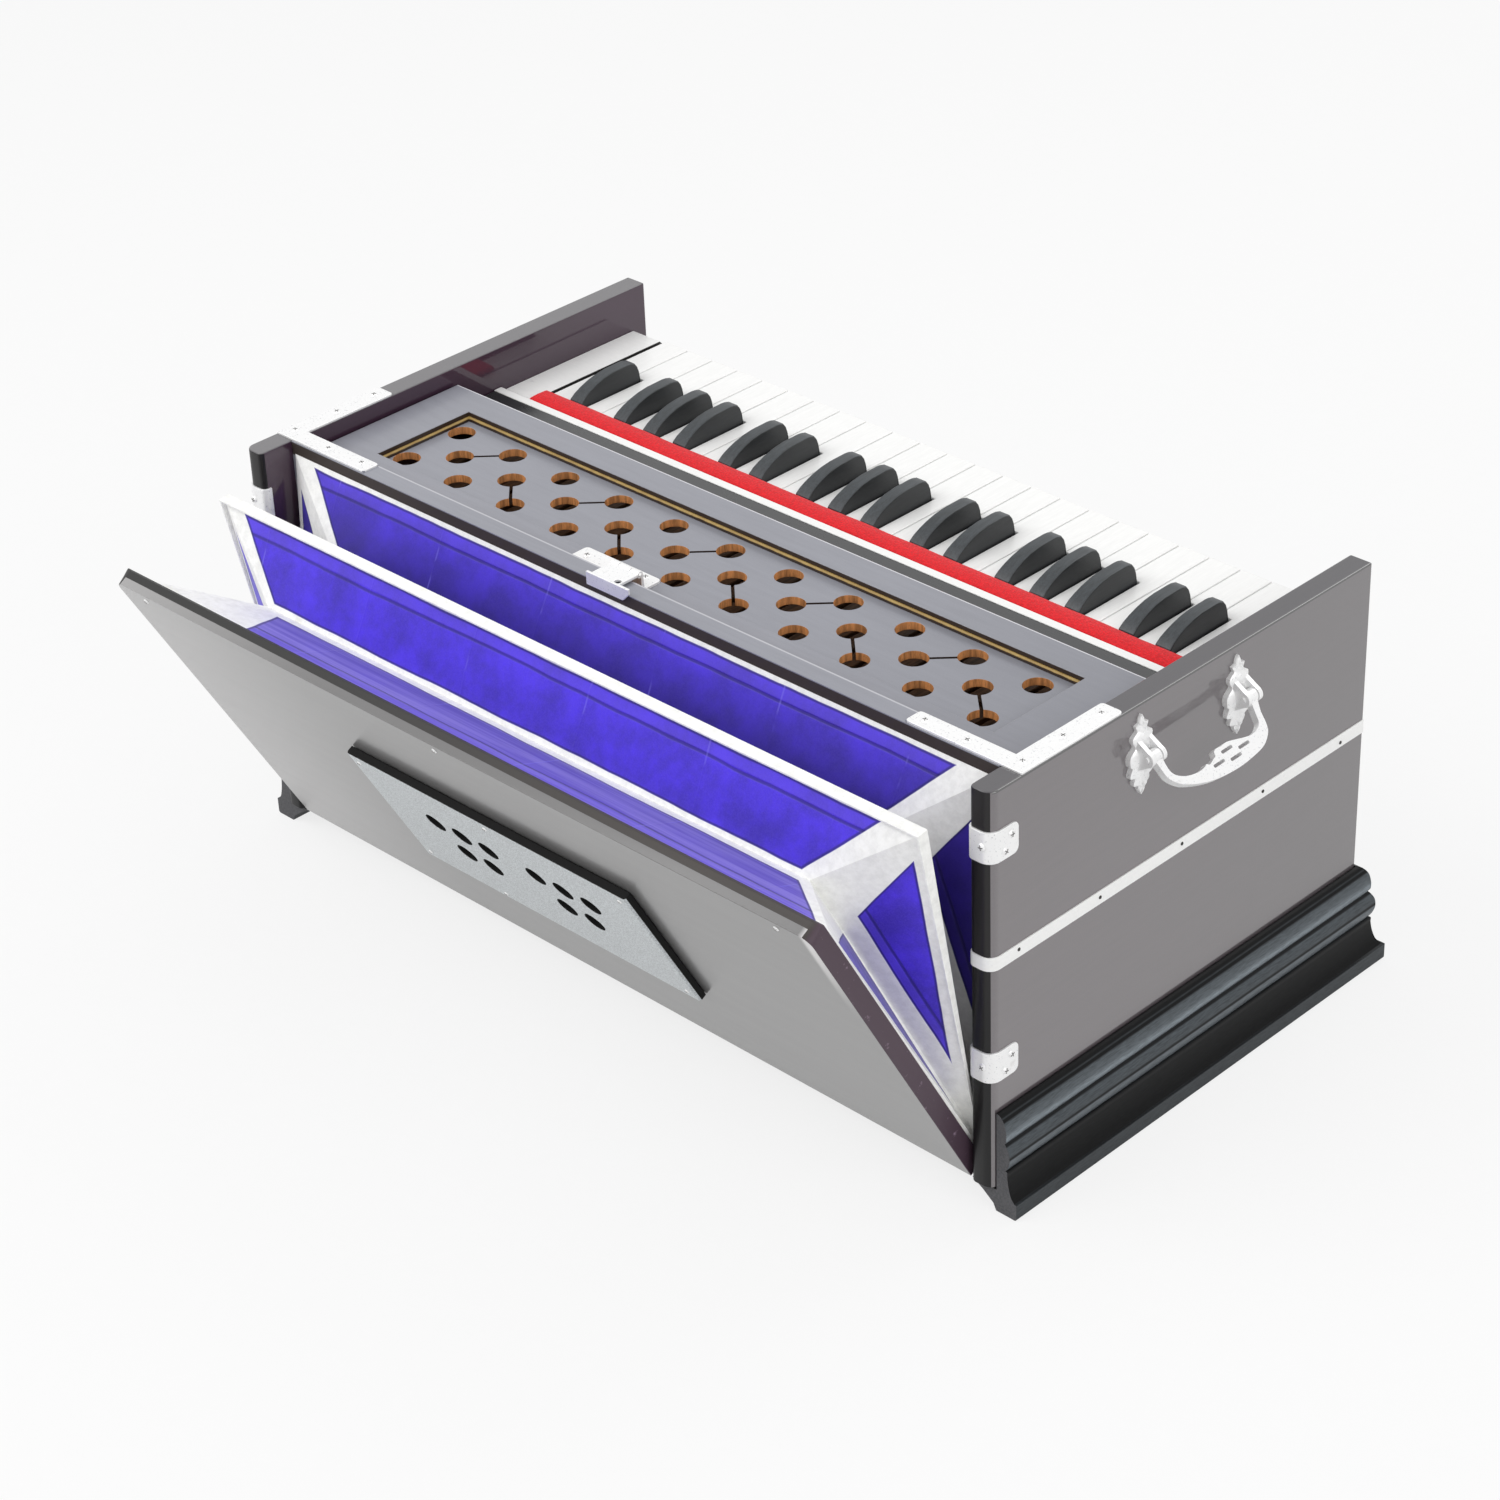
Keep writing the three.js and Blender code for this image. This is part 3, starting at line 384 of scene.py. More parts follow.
def panel_finish(finish):
    """Dark lacquer that mirrors its surroundings, with painted light and shade face by face. The front edge is
    painted shade, nearly black, the inner face plum with painted shade towards the bottom, the outer face has
    painted shade towards the back, the top a painted highlight, and a dark line of painted shade runs along the
    outer top edge."""
    paint, outside, roughness, normal, _ = satin("End panel lacquer", finish.panel, (12, 1, 12), rough=0.40,
                                                    streak=0.08, speck=0.10)
    x, y, z = paint.axes()
    nose = paint.mark("nose")
    inner = paint.mark("inner_face")
    cloud = paint.noise(18.0, 3.0, (1, 0.3, 1))
    # Painted shade on the inner face: plum, darker towards the bottom.
    inner_plum_shade = paint.mix(z.step(0.150, 0.246) * (0.35 + cloud * 0.65), linear((0.075, 0.055, 0.07)),
                     linear((0.30, 0.20, 0.28)))
    # Painted shade: a dark line along the outer top edge.
    wide = paint.node("ShaderNodeMath", {"operation": "ABSOLUTE"}, {0: x})[0]
    line = wide.step(0.2786, 0.2790) * z.step(0.2507, 0.2511)
    top = z.step(0.2513, 0.2517) * (1 - line)
    # Painted shade on the outer face, darker towards the back.
    outside = paint.mix(y.step(-0.05, 0.21) * 0.3, outside, linear(shade(finish.panel, 0.6)))
    colour_out = paint.mix(inner, outside, inner_plum_shade)
    # Painted shade on the front edge: nearly black, darkest low down.
    front = paint.mix(z.step(0.10, 0.17), linear((0.02, 0.018, 0.025)), linear((0.09, 0.08, 0.085)))
    colour_out = paint.mix(nose, colour_out, front)
    # Painted highlight on the top, paler at the treble end.
    rim = paint.mix(x.step(-0.1, 0.1), linear((0.42, 0.415, 0.425)), linear((0.27, 0.265, 0.28)))
    colour_out = paint.mix(top * 0.85, colour_out, rim)
    colour_out = paint.mix(line * 0.9, colour_out, linear((0.10, 0.09, 0.10)))
    return paint.surface(base_color=colour_out, roughness=roughness, normal=normal,
                         coat_weight=1 - nose * 0.95 - inner * 0.65 - top * 0.6, coat_roughness=0.05,
                         coat_ior=2.1, specular_ior_level=0.3)


# Height of the moulding's bands as a share of its height, with their tone from the photograph's side: painted
# highlights on the rolls and painted shade in the grooves and the cove
MOULDING_LIGHT_BANDS = (
    (0.0, 0.26), (0.155, 0.28), (0.168, 0.05), (0.43, 0.055), (0.455, 0.07), (0.485, 0.40), (0.575, 0.46),
    (0.588, 0.09), (0.604, 0.10), (0.618, 0.34), (0.70, 0.36), (0.712, 0.10), (0.728, 0.12), (0.742, 0.50),
    (0.79, 0.57), (0.84, 0.42), (0.925, 0.37), (0.94, 0.06), (0.958, 0.07), (0.966, 0.26), (0.974, 0.07),
    (1.0, 0.05),
)


def moulding_finish(name, finish, stretch):
    """Polished moulding with painted highlights on its rolls and painted shade in its grooves and its cove."""
    paint = Paint(name)
    z = paint.axes()[2]
    wander = (paint.noise(7.0, 2.0, stretch) - 0.5) * 0.012
    hue = finish.moulding
    middle = sum(hue) / 3
    stops = [(place_at, linear([tone * c / middle for c in hue])) for place_at, tone in MOULDING_LIGHT_BANDS]
    # Painted light: the bands give highlights on the rolls and shade in the grooves and the cove.
    painted_light_bands = paint.ramp(z * (1000 / MOULDING_HEIGHT) + wander, stops)
    streaks = paint.noise(170.0, 4.0, stretch, 0.6)
    dust = paint.noise(900.0, 2.0)
    tone = paint.mix(streaks.step(0.3, 0.75) * 0.45, painted_light_bands, (0.012, 0.012, 0.013))
    end = paint.mark("end_grain")
    sawn = paint.mix(dust, linear((0.27, 0.27, 0.28)), linear((0.43, 0.43, 0.44)))
    return paint.surface(base_color=paint.mix(end, tone, sawn), roughness=0.30 + end * 0.25 + dust * 0.06,
                         normal=paint.bump(streaks * 0.7 + dust * 0.3, 0.15, 0.0004),
                         specular_ior_level=0.1)


def cover_finish(name, finish, stretch):
    """Grey paint, with dark walls in the recess, painted shade on the slots' walls, bare wood in the holes, and
    painted highlight lines along the cover's front and rear edges; the top has painted shade towards the bass end."""
    paint, outside, roughness, normal, coat = satin(name, finish.top, stretch, rough=0.36)
    x, y, z = paint.axes()
    bare, _ = wood_colour(paint, shade(finish.wood, 1.12), (9, 9, 1))
    hole = paint.mark("inner_wall")
    slot = paint.mark("slot_wall")
    # Painted highlights: pale lines along the cover's front and rear top edges.
    front = y.band((36.7 + SHIFT) / 1000, 0.0010, 0.0004)
    rear = y.band((145.9 + SHIFT) / 1000, 0.0010, 0.0004)
    edge = (front * 0.6 + rear) * z.step(0.2408, 0.2414)
    # Painted shade on the top, darker towards the bass end.
    outside = paint.mix(x.step(0.02, 0.30) * 0.32, outside, linear(shade(finish.top, 0.72)))
    colour_out = paint.mix(edge, outside, linear((0.84, 0.84, 0.86)))
    colour_out = paint.mix(hole, colour_out, bare)
    # Painted shade on the slots' walls.
    colour_out = paint.mix(slot, colour_out, linear((0.17, 0.11, 0.07)))
    under = z.step(0.23705, 0.23720) * hole
    colour_out = paint.mix(under, colour_out, linear((0.17, 0.105, 0.06)))
    bare_share = hole.most(slot)
    return paint.surface(base_color=colour_out, roughness=roughness + bare_share * 0.2, normal=normal,
                         coat_weight=(1 - bare_share) * coat, coat_roughness=0.16)


def bead_finish():
    """Gilded crest on a bead that is dark below it, painted shadow."""
    paint = Paint("Bead gilding and painted shadow")
    z = paint.axes()[2]
    worn = paint.noise(150.0, 4.0)
    crest = (z + (worn - 0.5) * 0.0006).step(0.23812, 0.23832)
    gilt = paint.mix(worn, linear((0.52, 0.39, 0.17)), linear((0.76, 0.65, 0.38)))
    # Painted shadow: the bead is dark below its gilded crest.
    colour_out = paint.mix(crest, linear((0.15, 0.09, 0.05)), gilt)
    return paint.surface(base_color=colour_out, roughness=0.36 + worn * 0.15, normal=paint.bump(worn, 0.1, 0.0003))


def board_finish(finish):
    """Smooth silver lacquer on the face, with a painted reflection that is paler towards the treble end and darker
    lower down, a painted highlight near the top of its bass-end edge, and scuffed dark edges.
    """
    paint = Paint("Board lacquer")
    x, _, z = paint.axes()
    cloud = paint.noise(3.2, 3.0)
    flecks = paint.noise(1800.0, 1.0)
    drag = paint.noise(22.0, 4.0, (0.35, 6, 6))
    base = linear(finish.board)
    # Painted reflection: paler towards the treble end and darker lower down.
    across = x.step(-0.31, -0.06) + (cloud - 0.5) * 0.35 - (z - 0.12) * 0.6
    sheen = paint.mix(across, shade(base, 1.50), shade(base, 0.49))
    tone = 0.5 + (flecks - 0.5) * 0.30 + (drag - 0.5) * 0.25
    face = paint.mix(tone * 0.3, sheen, shade(base, 0.9))
    # Painted highlight along the face's bass-end edge near the top.
    lip = x.step(0.2560, 0.2600) * z.step(0.150, 0.215)
    face = paint.mix(lip * 0.7, face, linear((0.93, 0.92, 0.92)))
    scuff = paint.noise(210.0, 5.0, (1, 1, 1), 0.7)
    black = paint.mix(x.step(-0.15, 0.20), linear((0.045, 0.04, 0.035)), linear((0.19, 0.165, 0.15)))
    side = paint.mix(x.step(0.2595, 0.2630), black, linear((0.27, 0.20, 0.25)))
    side = paint.mix(scuff.step(0.60, 0.76) * x.step(0.2595, 0.2630), side, linear((0.55, 0.47, 0.54)))
    edge = paint.mark("edge_wood")
    return paint.surface(base_color=paint.mix(edge, face, side), roughness=0.27 + edge * 0.2 + drag * 0.06,
                         normal=paint.bump(flecks * 0.5 + scuff * edge, 0.12, 0.0003),
                         coat_weight=0.35 - edge * 0.3, coat_roughness=0.12)


def plate_finish(finish):
    """Pale speckled metal plate with brown edges inside its holes and a dark rim."""
    paint = Paint("Speckled plate")
    specks = paint.noise(1100.0, 2.0, (1, 1, 1), 0.7)
    sparkle = paint.noise(2600.0, 1.0)
    base = linear(finish.plate)
    face = paint.mix(specks.step(0.36, 0.66), shade(base, 0.72), shade(base, 1.16))
    rim = paint.mark("rim")
    dark = paint.mix(specks, linear((0.015, 0.015, 0.018)), linear((0.05, 0.042, 0.04)))
    return paint.surface(base_color=paint.mix(rim, face, dark), metallic=0.3,
                         roughness=0.36 + sparkle * 0.1 + rim * 0.35, normal=paint.bump(specks, 0.25, 0.0003))


def felt_finish(finish):
    """Pressed felt: matted fibres and a few pale hairs."""
    paint = Paint("Red felt")
    fibres = paint.noise(900.0, 5.0, (1, 1, 1), 0.75)
    tufts = paint.noise(240.0, 3.0, (1, 2, 2), 0.6)
    hairs = paint.noise(2200.0, 2.0, (0.25, 1, 1), 0.5)
    base = linear(finish.felt)
    colour_out = paint.mix(fibres.step(0.3, 0.7), shade(base, 0.72), shade(base, 1.22))
    colour_out = paint.mix(hairs.step(0.66, 0.76) * 0.4, colour_out, linear((0.96, 0.42, 0.45)))
    height = fibres * 0.5 + tufts * 0.5
    return paint.surface(base_color=colour_out, roughness=0.95, normal=paint.bump(height, 0.7, 0.0010),
                         sheen_weight=0.18, sheen_roughness=0.4)


def key_finish(name, head, finish, gloss, ebony=False):
    """Polished key head over a bare wooden lever, darker wood that is partly painted shade, with a felted pallet.
    Black keys get painted shade on their sides.
    """
    paint = Paint(name)
    _, y, z = paint.axes()
    grain = paint.noise(60.0, 4.0, (10, 1, 10), 0.6)
    brushed = paint.noise(300.0, 3.0, (8, 0.35, 8), 0.6)
    base = linear(head)
    low, high = (0.62, 1.55) if ebony else (0.965, 1.03)
    top = paint.mix((grain * 0.5 + brushed * 0.5).step(0.32, 0.7), shade(base, low), shade(base, high))
    dusty = paint.noise(28.0, 3.0)
    # The lever's bare wood is darkened to 0.55: darker wood, and partly painted shade inside the case.
    bare, rings = wood_colour(paint, shade(finish.wood, 0.55), (14, 1, 14))
    line = (KEY_LINE - 0.5 + SHIFT) / 1000
    lever = y.step(line, line - 0.0004)
    pallet = z.step(0.21195, 0.21175) * lever
    if ebony:
        # Painted shade on the black keys' sides.
        top = paint.mix(paint.mark("key_side") * 0.75, top, linear((0.035, 0.035, 0.04)))
    colour_out = paint.mix(lever, top, bare)
    colour_out = paint.mix(pallet, colour_out, linear((0.55, 0.12, 0.13)))
    roughness = gloss + dusty * 0.10 + brushed * (0.16 if ebony else 0.03) + lever * 0.35
    return paint.surface(base_color=colour_out, roughness=roughness,
                         normal=paint.bump(brushed + lever * rings, 0.16 if ebony else 0.05, 0.0003),
                         coat_weight=(1 - lever) * (0.12 if ebony else 0.3), coat_roughness=0.2)


def ivory_finish(finish):
    """Celluloid sheet: near white, with faint lines and a few grey marks, and painted shade where a block faces
    the keys.
    """
    paint = Paint("Ivory")
    x, y, _ = paint.axes()
    lines = paint.noise(120.0, 3.0, (1, 6, 6))
    marks = paint.noise(75.0, 5.0, (1, 1, 1), 0.65)
    base = linear(finish.ivory)
    colour_out = paint.mix(lines, shade(base, 0.93), shade(base, 1.03))
    colour_out = paint.mix(marks.step(0.66, 0.74) * 0.35, colour_out, linear((0.62, 0.62, 0.64)))
    # Painted shade on the key blocks where they face the keys.
    low, high = (FIELD_TREBLE - 1) / 1000, (FIELD_BASS + 1) / 1000
    gap_shade = x.step(low - 0.00035, low - 0.00025) * x.step(high + 0.00035, high + 0.00025)
    gap_shade = gap_shade * y.step((184 + SHIFT) / 1000, (184.5 + SHIFT) / 1000)
    colour_out = paint.mix(gap_shade, colour_out, linear((0.10, 0.09, 0.09)))
    return paint.surface(base_color=colour_out, roughness=0.3 + marks * 0.15,
                         normal=paint.bump(marks, 0.08, 0.0003), coat_weight=0.25, coat_roughness=0.15)


def metal_finish(finish):
    """Nickel plate: bright, lightly hammered, with grey specks and small dull spots."""
    paint = Paint("Bright nickel")
    dents = paint.noise(330.0, 3.0, (1, 1, 1), 0.55)
    specks = paint.noise(950.0, 2.0, (1, 1, 1), 0.6)
    dull = paint.noise(95.0, 4.0, (1, 1, 1), 0.6)
    base = linear(finish.metal)
    colour_out = paint.mix(specks.step(0.60, 0.74) * 0.6, base, linear((0.56, 0.57, 0.60)))
    colour_out = paint.mix(dull.step(0.64, 0.8) * 0.35, colour_out, linear((0.70, 0.69, 0.66)))
    return paint.surface(base_color=colour_out, metallic=0.4, roughness=0.26 + dull * 0.2,
                         normal=paint.bump(dents, 0.35, 0.0005))


def leather_colour(paint, colour):
    """White split leather: wrinkles, rubbed places and a little dust in the creases."""
    wrinkles = paint.noise(210.0, 5.0, (1, 1, 1), 0.68)
    rubbed = paint.noise(34.0, 4.0, (1, 1, 1), 0.6)
    base = linear(colour)
    tone = paint.mix(wrinkles.step(0.3, 0.7), shade(base, 0.90), shade(base, 1.03))
    tone = paint.mix(rubbed.step(0.60, 0.78) * 0.55, tone, linear((0.86, 0.85, 0.78)))
    return tone, wrinkles


def tape_finish(finish):
    paint = Paint("White leather tape")
    tone, wrinkles = leather_colour(paint, finish.tape)
    return paint.surface(base_color=tone, roughness=0.72 + wrinkles * 0.1,
                         normal=paint.bump(wrinkles, 0.35, 0.0006))


def cloth_finish(finish):
    """Blue bellows cloth with leather tape over its folds and corners. The mesh says how far each
    point lies from each tape's edge."""
    paint = Paint("Bellows cloth and tape")
    x = paint.axes()[0]
    reach = paint.node("ShaderNodeAttribute", {"attribute_name": "tape_reach"})
    parts = paint.node("ShaderNodeSeparateColor", {}, {0: reach["Color"]})
    rim, fold, first, second = parts["Red"], parts["Green"], parts["Blue"], reach["Alpha"]
    leaf = paint.node("ShaderNodeAttribute", {"attribute_name": "leaf_tone"})
    parts = paint.node("ShaderNodeSeparateColor", {}, {0: leaf["Color"]})
    # Per leaf: a painted lilac sheen where it is seen at a grazing angle, painted shade towards its rim and fold,
    # and the distance from its pasted edge.
    lilac_sheen, depth, crease = parts["Red"], parts["Green"], parts["Blue"]
    waver = (paint.noise(22.0, 2.0) - 0.5) * 0.0022
    nearest = rim.least(fold).least(first).least(second) + waver
    tape = nearest.step(0.0003, -0.0003)
    leather, wrinkles = leather_colour(paint, finish.tape)

    base = linear(finish.cloth)
    mottle = paint.noise(42.0, 5.0, (1, 1, 1), 0.62)
    weave = paint.noise(1300.0, 2.0)
    ripple = paint.noise(14.0, 3.0, (1, 0.4, 0.4), 0.5)
    colour_out = paint.mix(mottle.step(0.25, 0.75), shade(base, 0.66), shade(base, 1.28))
    colour_out = paint.mix((weave - 0.5) * 0.4 + 0.06, colour_out, linear((0.50, 0.42, 0.96)))
    streaks = paint.noise(230.0, 3.0, (0.03, 1, 1), 0.6)
    # Painted sheen: the paler lilac of a leaf seen at a grazing angle.
    painted_sheen_colour = paint.mix(streaks.step(0.3, 0.7), linear((0.40, 0.33, 0.78)), linear((0.60, 0.55, 0.90)))
    colour_out = paint.mix(lilac_sheen, colour_out, painted_sheen_colour)
    pasted = crease.step(0.0060, 0.0050)
    colour_out = paint.mix(pasted * 0.28, colour_out, linear((0.44, 0.35, 0.90)))
    wavy = crease + (paint.noise(9.0, 2.0) - 0.5) * 0.004 + waver
    # Painted shade: a dark wavy crease line in from the pasted edge.
    groove = wavy.band(0.0066, 0.0008, 0.0009)
    colour_out = paint.mix(groove * 0.62, colour_out, shade(base, 0.16))
    # Painted shade in the folds.
    colour_out = paint.mix(depth, colour_out, linear((0.075, 0.015, 0.27)))
    # Painted shadow: a dark line along each tape's edge.
    lip = nearest.band(0.0006, 0.0005, 0.0008)
    colour_out = paint.mix(lip * 0.7, colour_out, shade(base, 0.14))

    bend = paint.noise(9.0, 2.0, (1, 1, 1), 0.5)
    along = x * 11.6 + bend * 0.12
    cell = paint.node("ShaderNodeMath", {"operation": "FRACT"}, {0: along + 20.0})[0]
    seam = cell.band(0.5, 0.004, 0.008)
    broken = paint.noise(45.0, 2.0).step(0.47, 0.57)
    colour_out = paint.mix(seam * broken * 0.34, colour_out, linear((0.52, 0.48, 0.94)))
    colour_out = paint.mix(tape, colour_out, leather)

    bare = 1 - tape
    height = tape * 0.8 + (seam * 0.2 - groove * 0.5 + pasted * 0.15) * bare + ripple * 0.9
    height = height + mottle * 0.14 + weave * 0.03 + tape * wrinkles * 0.35
    return paint.surface(base_color=colour_out, roughness=0.5 + tape * 0.22 + mottle * 0.08,
                         normal=paint.bump(height, 0.42, 0.0011), sheen_weight=0.12, sheen_roughness=0.45,
                         specular_ior_level=0.42)


def dark_finish(name, tone):
    """Blackened steel of nail heads, or the grey of screw slots, painted shade."""
    paint = Paint(name)
    spots = paint.noise(700.0, 3.0)
    colour_out = paint.mix(spots, linear((tone, tone, tone)), linear((tone + 0.2, tone + 0.19, tone + 0.18)))
    return paint.surface(base_color=colour_out, metallic=0.6, roughness=0.4 + spots * 0.2)


finishes = {}


def mix_finishes(context):
    """Every finish, mixed once and shared by the pieces."""
    if finishes:
        return finishes
    finish = context.scene.harmonium_finish
    finishes.update(
        panel=panel_finish(finish),
        moulding=moulding_finish("Moulding polish and painted light", finish, (10, 1, 10)),
        moulding_long=moulding_finish("Long moulding polish and painted light", finish, (1, 10, 10)),
        case=case_finish(finish),
        reeds=reed_finish(finish),
        cover=cover_finish("Cover paint", finish, (1, 10, 10)),
        bead=bead_finish(),
        rail=satin_material("Rail stain", finish.rail, (1, 12, 12), rough=0.30, coat=0.4),
        felt=felt_finish(finish),
        white_key=key_finish("White key", finish.ivory, finish, 0.24),
        black_key=key_finish("Black key", finish.ebony, finish, 0.30, ebony=True),
        ivory=ivory_finish(finish),
        metal=metal_finish(finish),
        dark=dark_finish("Dark steel", 0.10),
        groove=dark_finish("Screw slot shade", 0.36),
        board=board_finish(finish),
        plate=plate_finish(finish),
        cloth=cloth_finish(finish),
        tape=tape_finish(finish),
    )
    return finishes


# Modelling helpers. Points are in millimetres; a section lies across the axis that it is pushed along.
def section_point(axis, u, v, t):
    return {"x": (t, u, v), "y": (u, t, v), "z": (u, v, t)}[axis]


def prism(bm, points, axis, low, high):
    """An outline pushed along an axis."""
    start = bm.faces.new([bm.verts.new(section_point(axis, u, v, low)) for u, v in points])
    pushed = bmesh.ops.extrude_face_region(bm, geom=[start])["geom"]
    verts = [g for g in pushed if isinstance(g, bmesh.types.BMVert)]
    bmesh.ops.translate(bm, verts=verts, vec=section_point(axis, 0, 0, high - low))
    return verts


def block(bm, x0, x1, y0, y1, z0, z1):
    made = bmesh.ops.create_cube(bm, size=1.0)["verts"]
    bmesh.ops.scale(bm, verts=made, vec=(x1 - x0, y1 - y0, z1 - z0))
    bmesh.ops.translate(bm, verts=made, vec=((x0 + x1) / 2, (y0 + y1) / 2, (z0 + z1) / 2))
    return made


def rod(bm, start, end, radius, sides=24):
    """A round bar between two points."""
    a, b = Vector(start), Vector(end)
    turn = (b - a).to_track_quat("Z", "Y").to_matrix().to_4x4()
    bmesh.ops.create_cone(bm, cap_ends=True, segments=sides, radius1=radius, radius2=radius,
                          depth=(b - a).length, matrix=Matrix.Translation((a + b) / 2) @ turn)


def turned(bm, profile, centre, normal, steps=20):
    """A small turned part: (radius, height) points spun about a normal at centre. What is made gets
    tagged, so that the next one moves only its own points."""
    verts = [bm.verts.new((r, 0, h)) for r, h in profile]
    edges = [bm.edges.new(pair) for pair in zip(verts, verts[1:])]
    bmesh.ops.spin(bm, geom=verts + edges, cent=(0, 0, 0), axis=(0, 0, 1), angle=2 * math.pi, steps=steps,
                   use_merge=True)
    bmesh.ops.remove_doubles(bm, verts=[v for v in bm.verts if not v.tag], dist=0.0005)
    turn = Vector(normal).to_track_quat("Z", "Y").to_matrix().to_4x4()
    made = [v for v in bm.verts if not v.tag]
    bmesh.ops.transform(bm, matrix=Matrix.Translation(centre) @ turn, verts=made)
    for v in made:
        v.tag = True


def loops(bm, rings):
    """Rings of points joined one to the next, and the last to the first."""
    made = []
    for ring in rings:
        verts = [bm.verts.new(p) for p in ring]
        made.append([bm.edges.new((a, b)) for a, b in zip(verts, verts[1:] + verts[:1])])
    for first, second in zip(made, made[1:] + made[:1]):
        bmesh.ops.bridge_loops(bm, edges=first + second)


def rectangle(x, y0, y1, z):
    return [(-x, y0, z), (x, y0, z), (x, y1, z), (-x, y1, z)]


def curve_through(points, steps=5):
    """Points on a smooth line through the given ones."""
    p = [points[0], *points, points[-1]]
    line = []
    for a, b, c, d in zip(p, p[1:], p[2:], p[3:]):
        for i in range(steps):
            t = i / steps
            line.append(tuple(
                0.5 * (2 * b[k] + (c[k] - a[k]) * t + (2 * a[k] - 5 * b[k] + 4 * c[k] - d[k]) * t * t
                       + (3 * b[k] - a[k] - 3 * c[k] + d[k]) * t ** 3) for k in range(len(b))))
    return line + [tuple(points[-1])]


def add_object(name, data):
    obj = bpy.data.objects.new(name, data)
    bpy.context.scene.collection.objects.link(obj)
    return obj


def round_corners(bm, edges, radius, steps=4):
    bmesh.ops.bevel(bm, geom=edges, offset=radius, affect="EDGES", segments=steps, profile=0.5, material=-1)


def place(bm):
    """From millimetres in the source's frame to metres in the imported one."""
    bmesh.ops.translate(bm, verts=bm.verts, vec=(0, SHIFT, 0))
    bmesh.ops.scale(bm, verts=bm.verts, vec=(0.001, 0.001, 0.001))


def to_mesh(name, bm):
    mesh = bpy.data.meshes.new(name)
    bm.to_mesh(mesh)
    bm.free()
    return mesh


def carve(bm, tool):
    """The first solid with the second taken away, as a new bmesh."""
    target = add_object("carve_target", to_mesh("carve_target", bm))
    cutter = add_object("carve_tool", to_mesh("carve_tool", tool))
    change = target.modifiers.new("Cut", "BOOLEAN")
    change.operation = "DIFFERENCE"
    change.solver = "EXACT"
    change.object = cutter
    graph = bpy.context.evaluated_depsgraph_get()
    result = bmesh.new()
    result.from_mesh(target.evaluated_get(graph).to_mesh())
    for made in (target, cutter):
        mesh = made.data
        bpy.data.objects.remove(made)
        bpy.data.meshes.remove(mesh)
    return result


def piece(name, bm, body, material, stands_for=(), round_edges=0.0, angle=30, segments=2, marks=None):
    """Turns a bmesh into a finished piece that rides on a body. Each mark is a test of a face's normal
    and centre, which a finish reads."""
    bmesh.ops.recalc_face_normals(bm, faces=bm.faces)
    place(bm)
    bm.normal_update()
    marked = {}
    for mark, test in (marks or {}).items():
        marked[mark] = [1.0 if test(f.normal, f.calc_center_median()) else 0.0 for f in bm.faces]
    mesh = to_mesh(name, bm)
    for mark, values in marked.items():
        mesh.attributes.new(mark, "FLOAT", "FACE").data.foreach_set("value", values)
    mesh.polygons.foreach_set("use_smooth", [True] * len(mesh.polygons))
    mesh.set_sharp_from_angle(angle=math.radians(35))
    obj = add_object(name, mesh)
    mesh.materials.append(material)
    if round_edges:
        soften(obj, round_edges / 1000, angle, segments)
    if stands_for:
        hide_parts(*stands_for)
    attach(obj, body)


def soften(obj, width, angle=30, segments=2):
    change = obj.modifiers.new("Rounded edges", "BEVEL")
    change.width = width
    change.segments = segments
    change.limit_method = "ANGLE"
    change.angle_limit = math.radians(angle)
    change.harden_normals = True


def dress(node, material, round_edges=0.0, angle=30):
    """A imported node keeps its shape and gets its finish, with its loose triangles welded."""
    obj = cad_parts[node]
    obj.data.materials.clear()
    obj.data.materials.append(material)
    weld = obj.modifiers.new("Weld", "WELD")
    weld.merge_threshold = 0.00001
    if round_edges:
        soften(obj, round_edges / 1000, angle)


def both_sides(make):
    """Calls make for the bass end, at +X, and for the treble end."""
    for side, word in ((1, "right"), (-1, "left")):
        make(side, word)


def mirrored(bm, side):
    if side < 0:
        bmesh.ops.scale(bm, verts=bm.verts, vec=(-1, 1, 1))
        bmesh.ops.reverse_faces(bm, faces=bm.faces)


# Case
def nose_path(grow, rear, inner_end):
    """Plan of an end panel's skin from its outer face round the front edge to its inner face."""
    outer, inner = 6.0, 3.0
    path = [(HALF + grow, rear)]
    for i in range(7):
        a = math.radians(15 * i)
        path.append((HALF - outer + (outer + grow) * math.cos(a), outer - (outer + grow) * math.sin(a)))
    for i in range(7):
        a = math.radians(15 * i)
        path.append((INNER_HALF + inner - (inner + grow) * math.sin(a), inner - (inner + grow) * math.cos(a)))
    path.append((INNER_HALF - grow, inner_end))
    return path


def wrap(bm, grow, rear, inner_end, z0, z1, sink=0.4):
    """A thin band round the front edge of an end panel."""
    outside = nose_path(grow, rear, inner_end)
    inside = nose_path(-sink, rear, inner_end)
    return prism(bm, outside + inside[::-1], "z", z0, z1)


MOULDING_REACH = 13.7
MOULDING_HEIGHT = 62.0
MOULDING_FACE = (
    (0.06, 1), (0.24, 0.98), (0.42, 0.92), (0.5, 0.83), (0.5, 0.76), (0.42, 0.73), (0.5, 0.71), (0.63, 0.65),
    (0.66, 0.57), (0.58, 0.5), (0.46, 0.46), (0.55, 0.45), (0.55, 0.41), (0.6, 0.32), (0.72, 0.22), (0.9, 0.165),
)


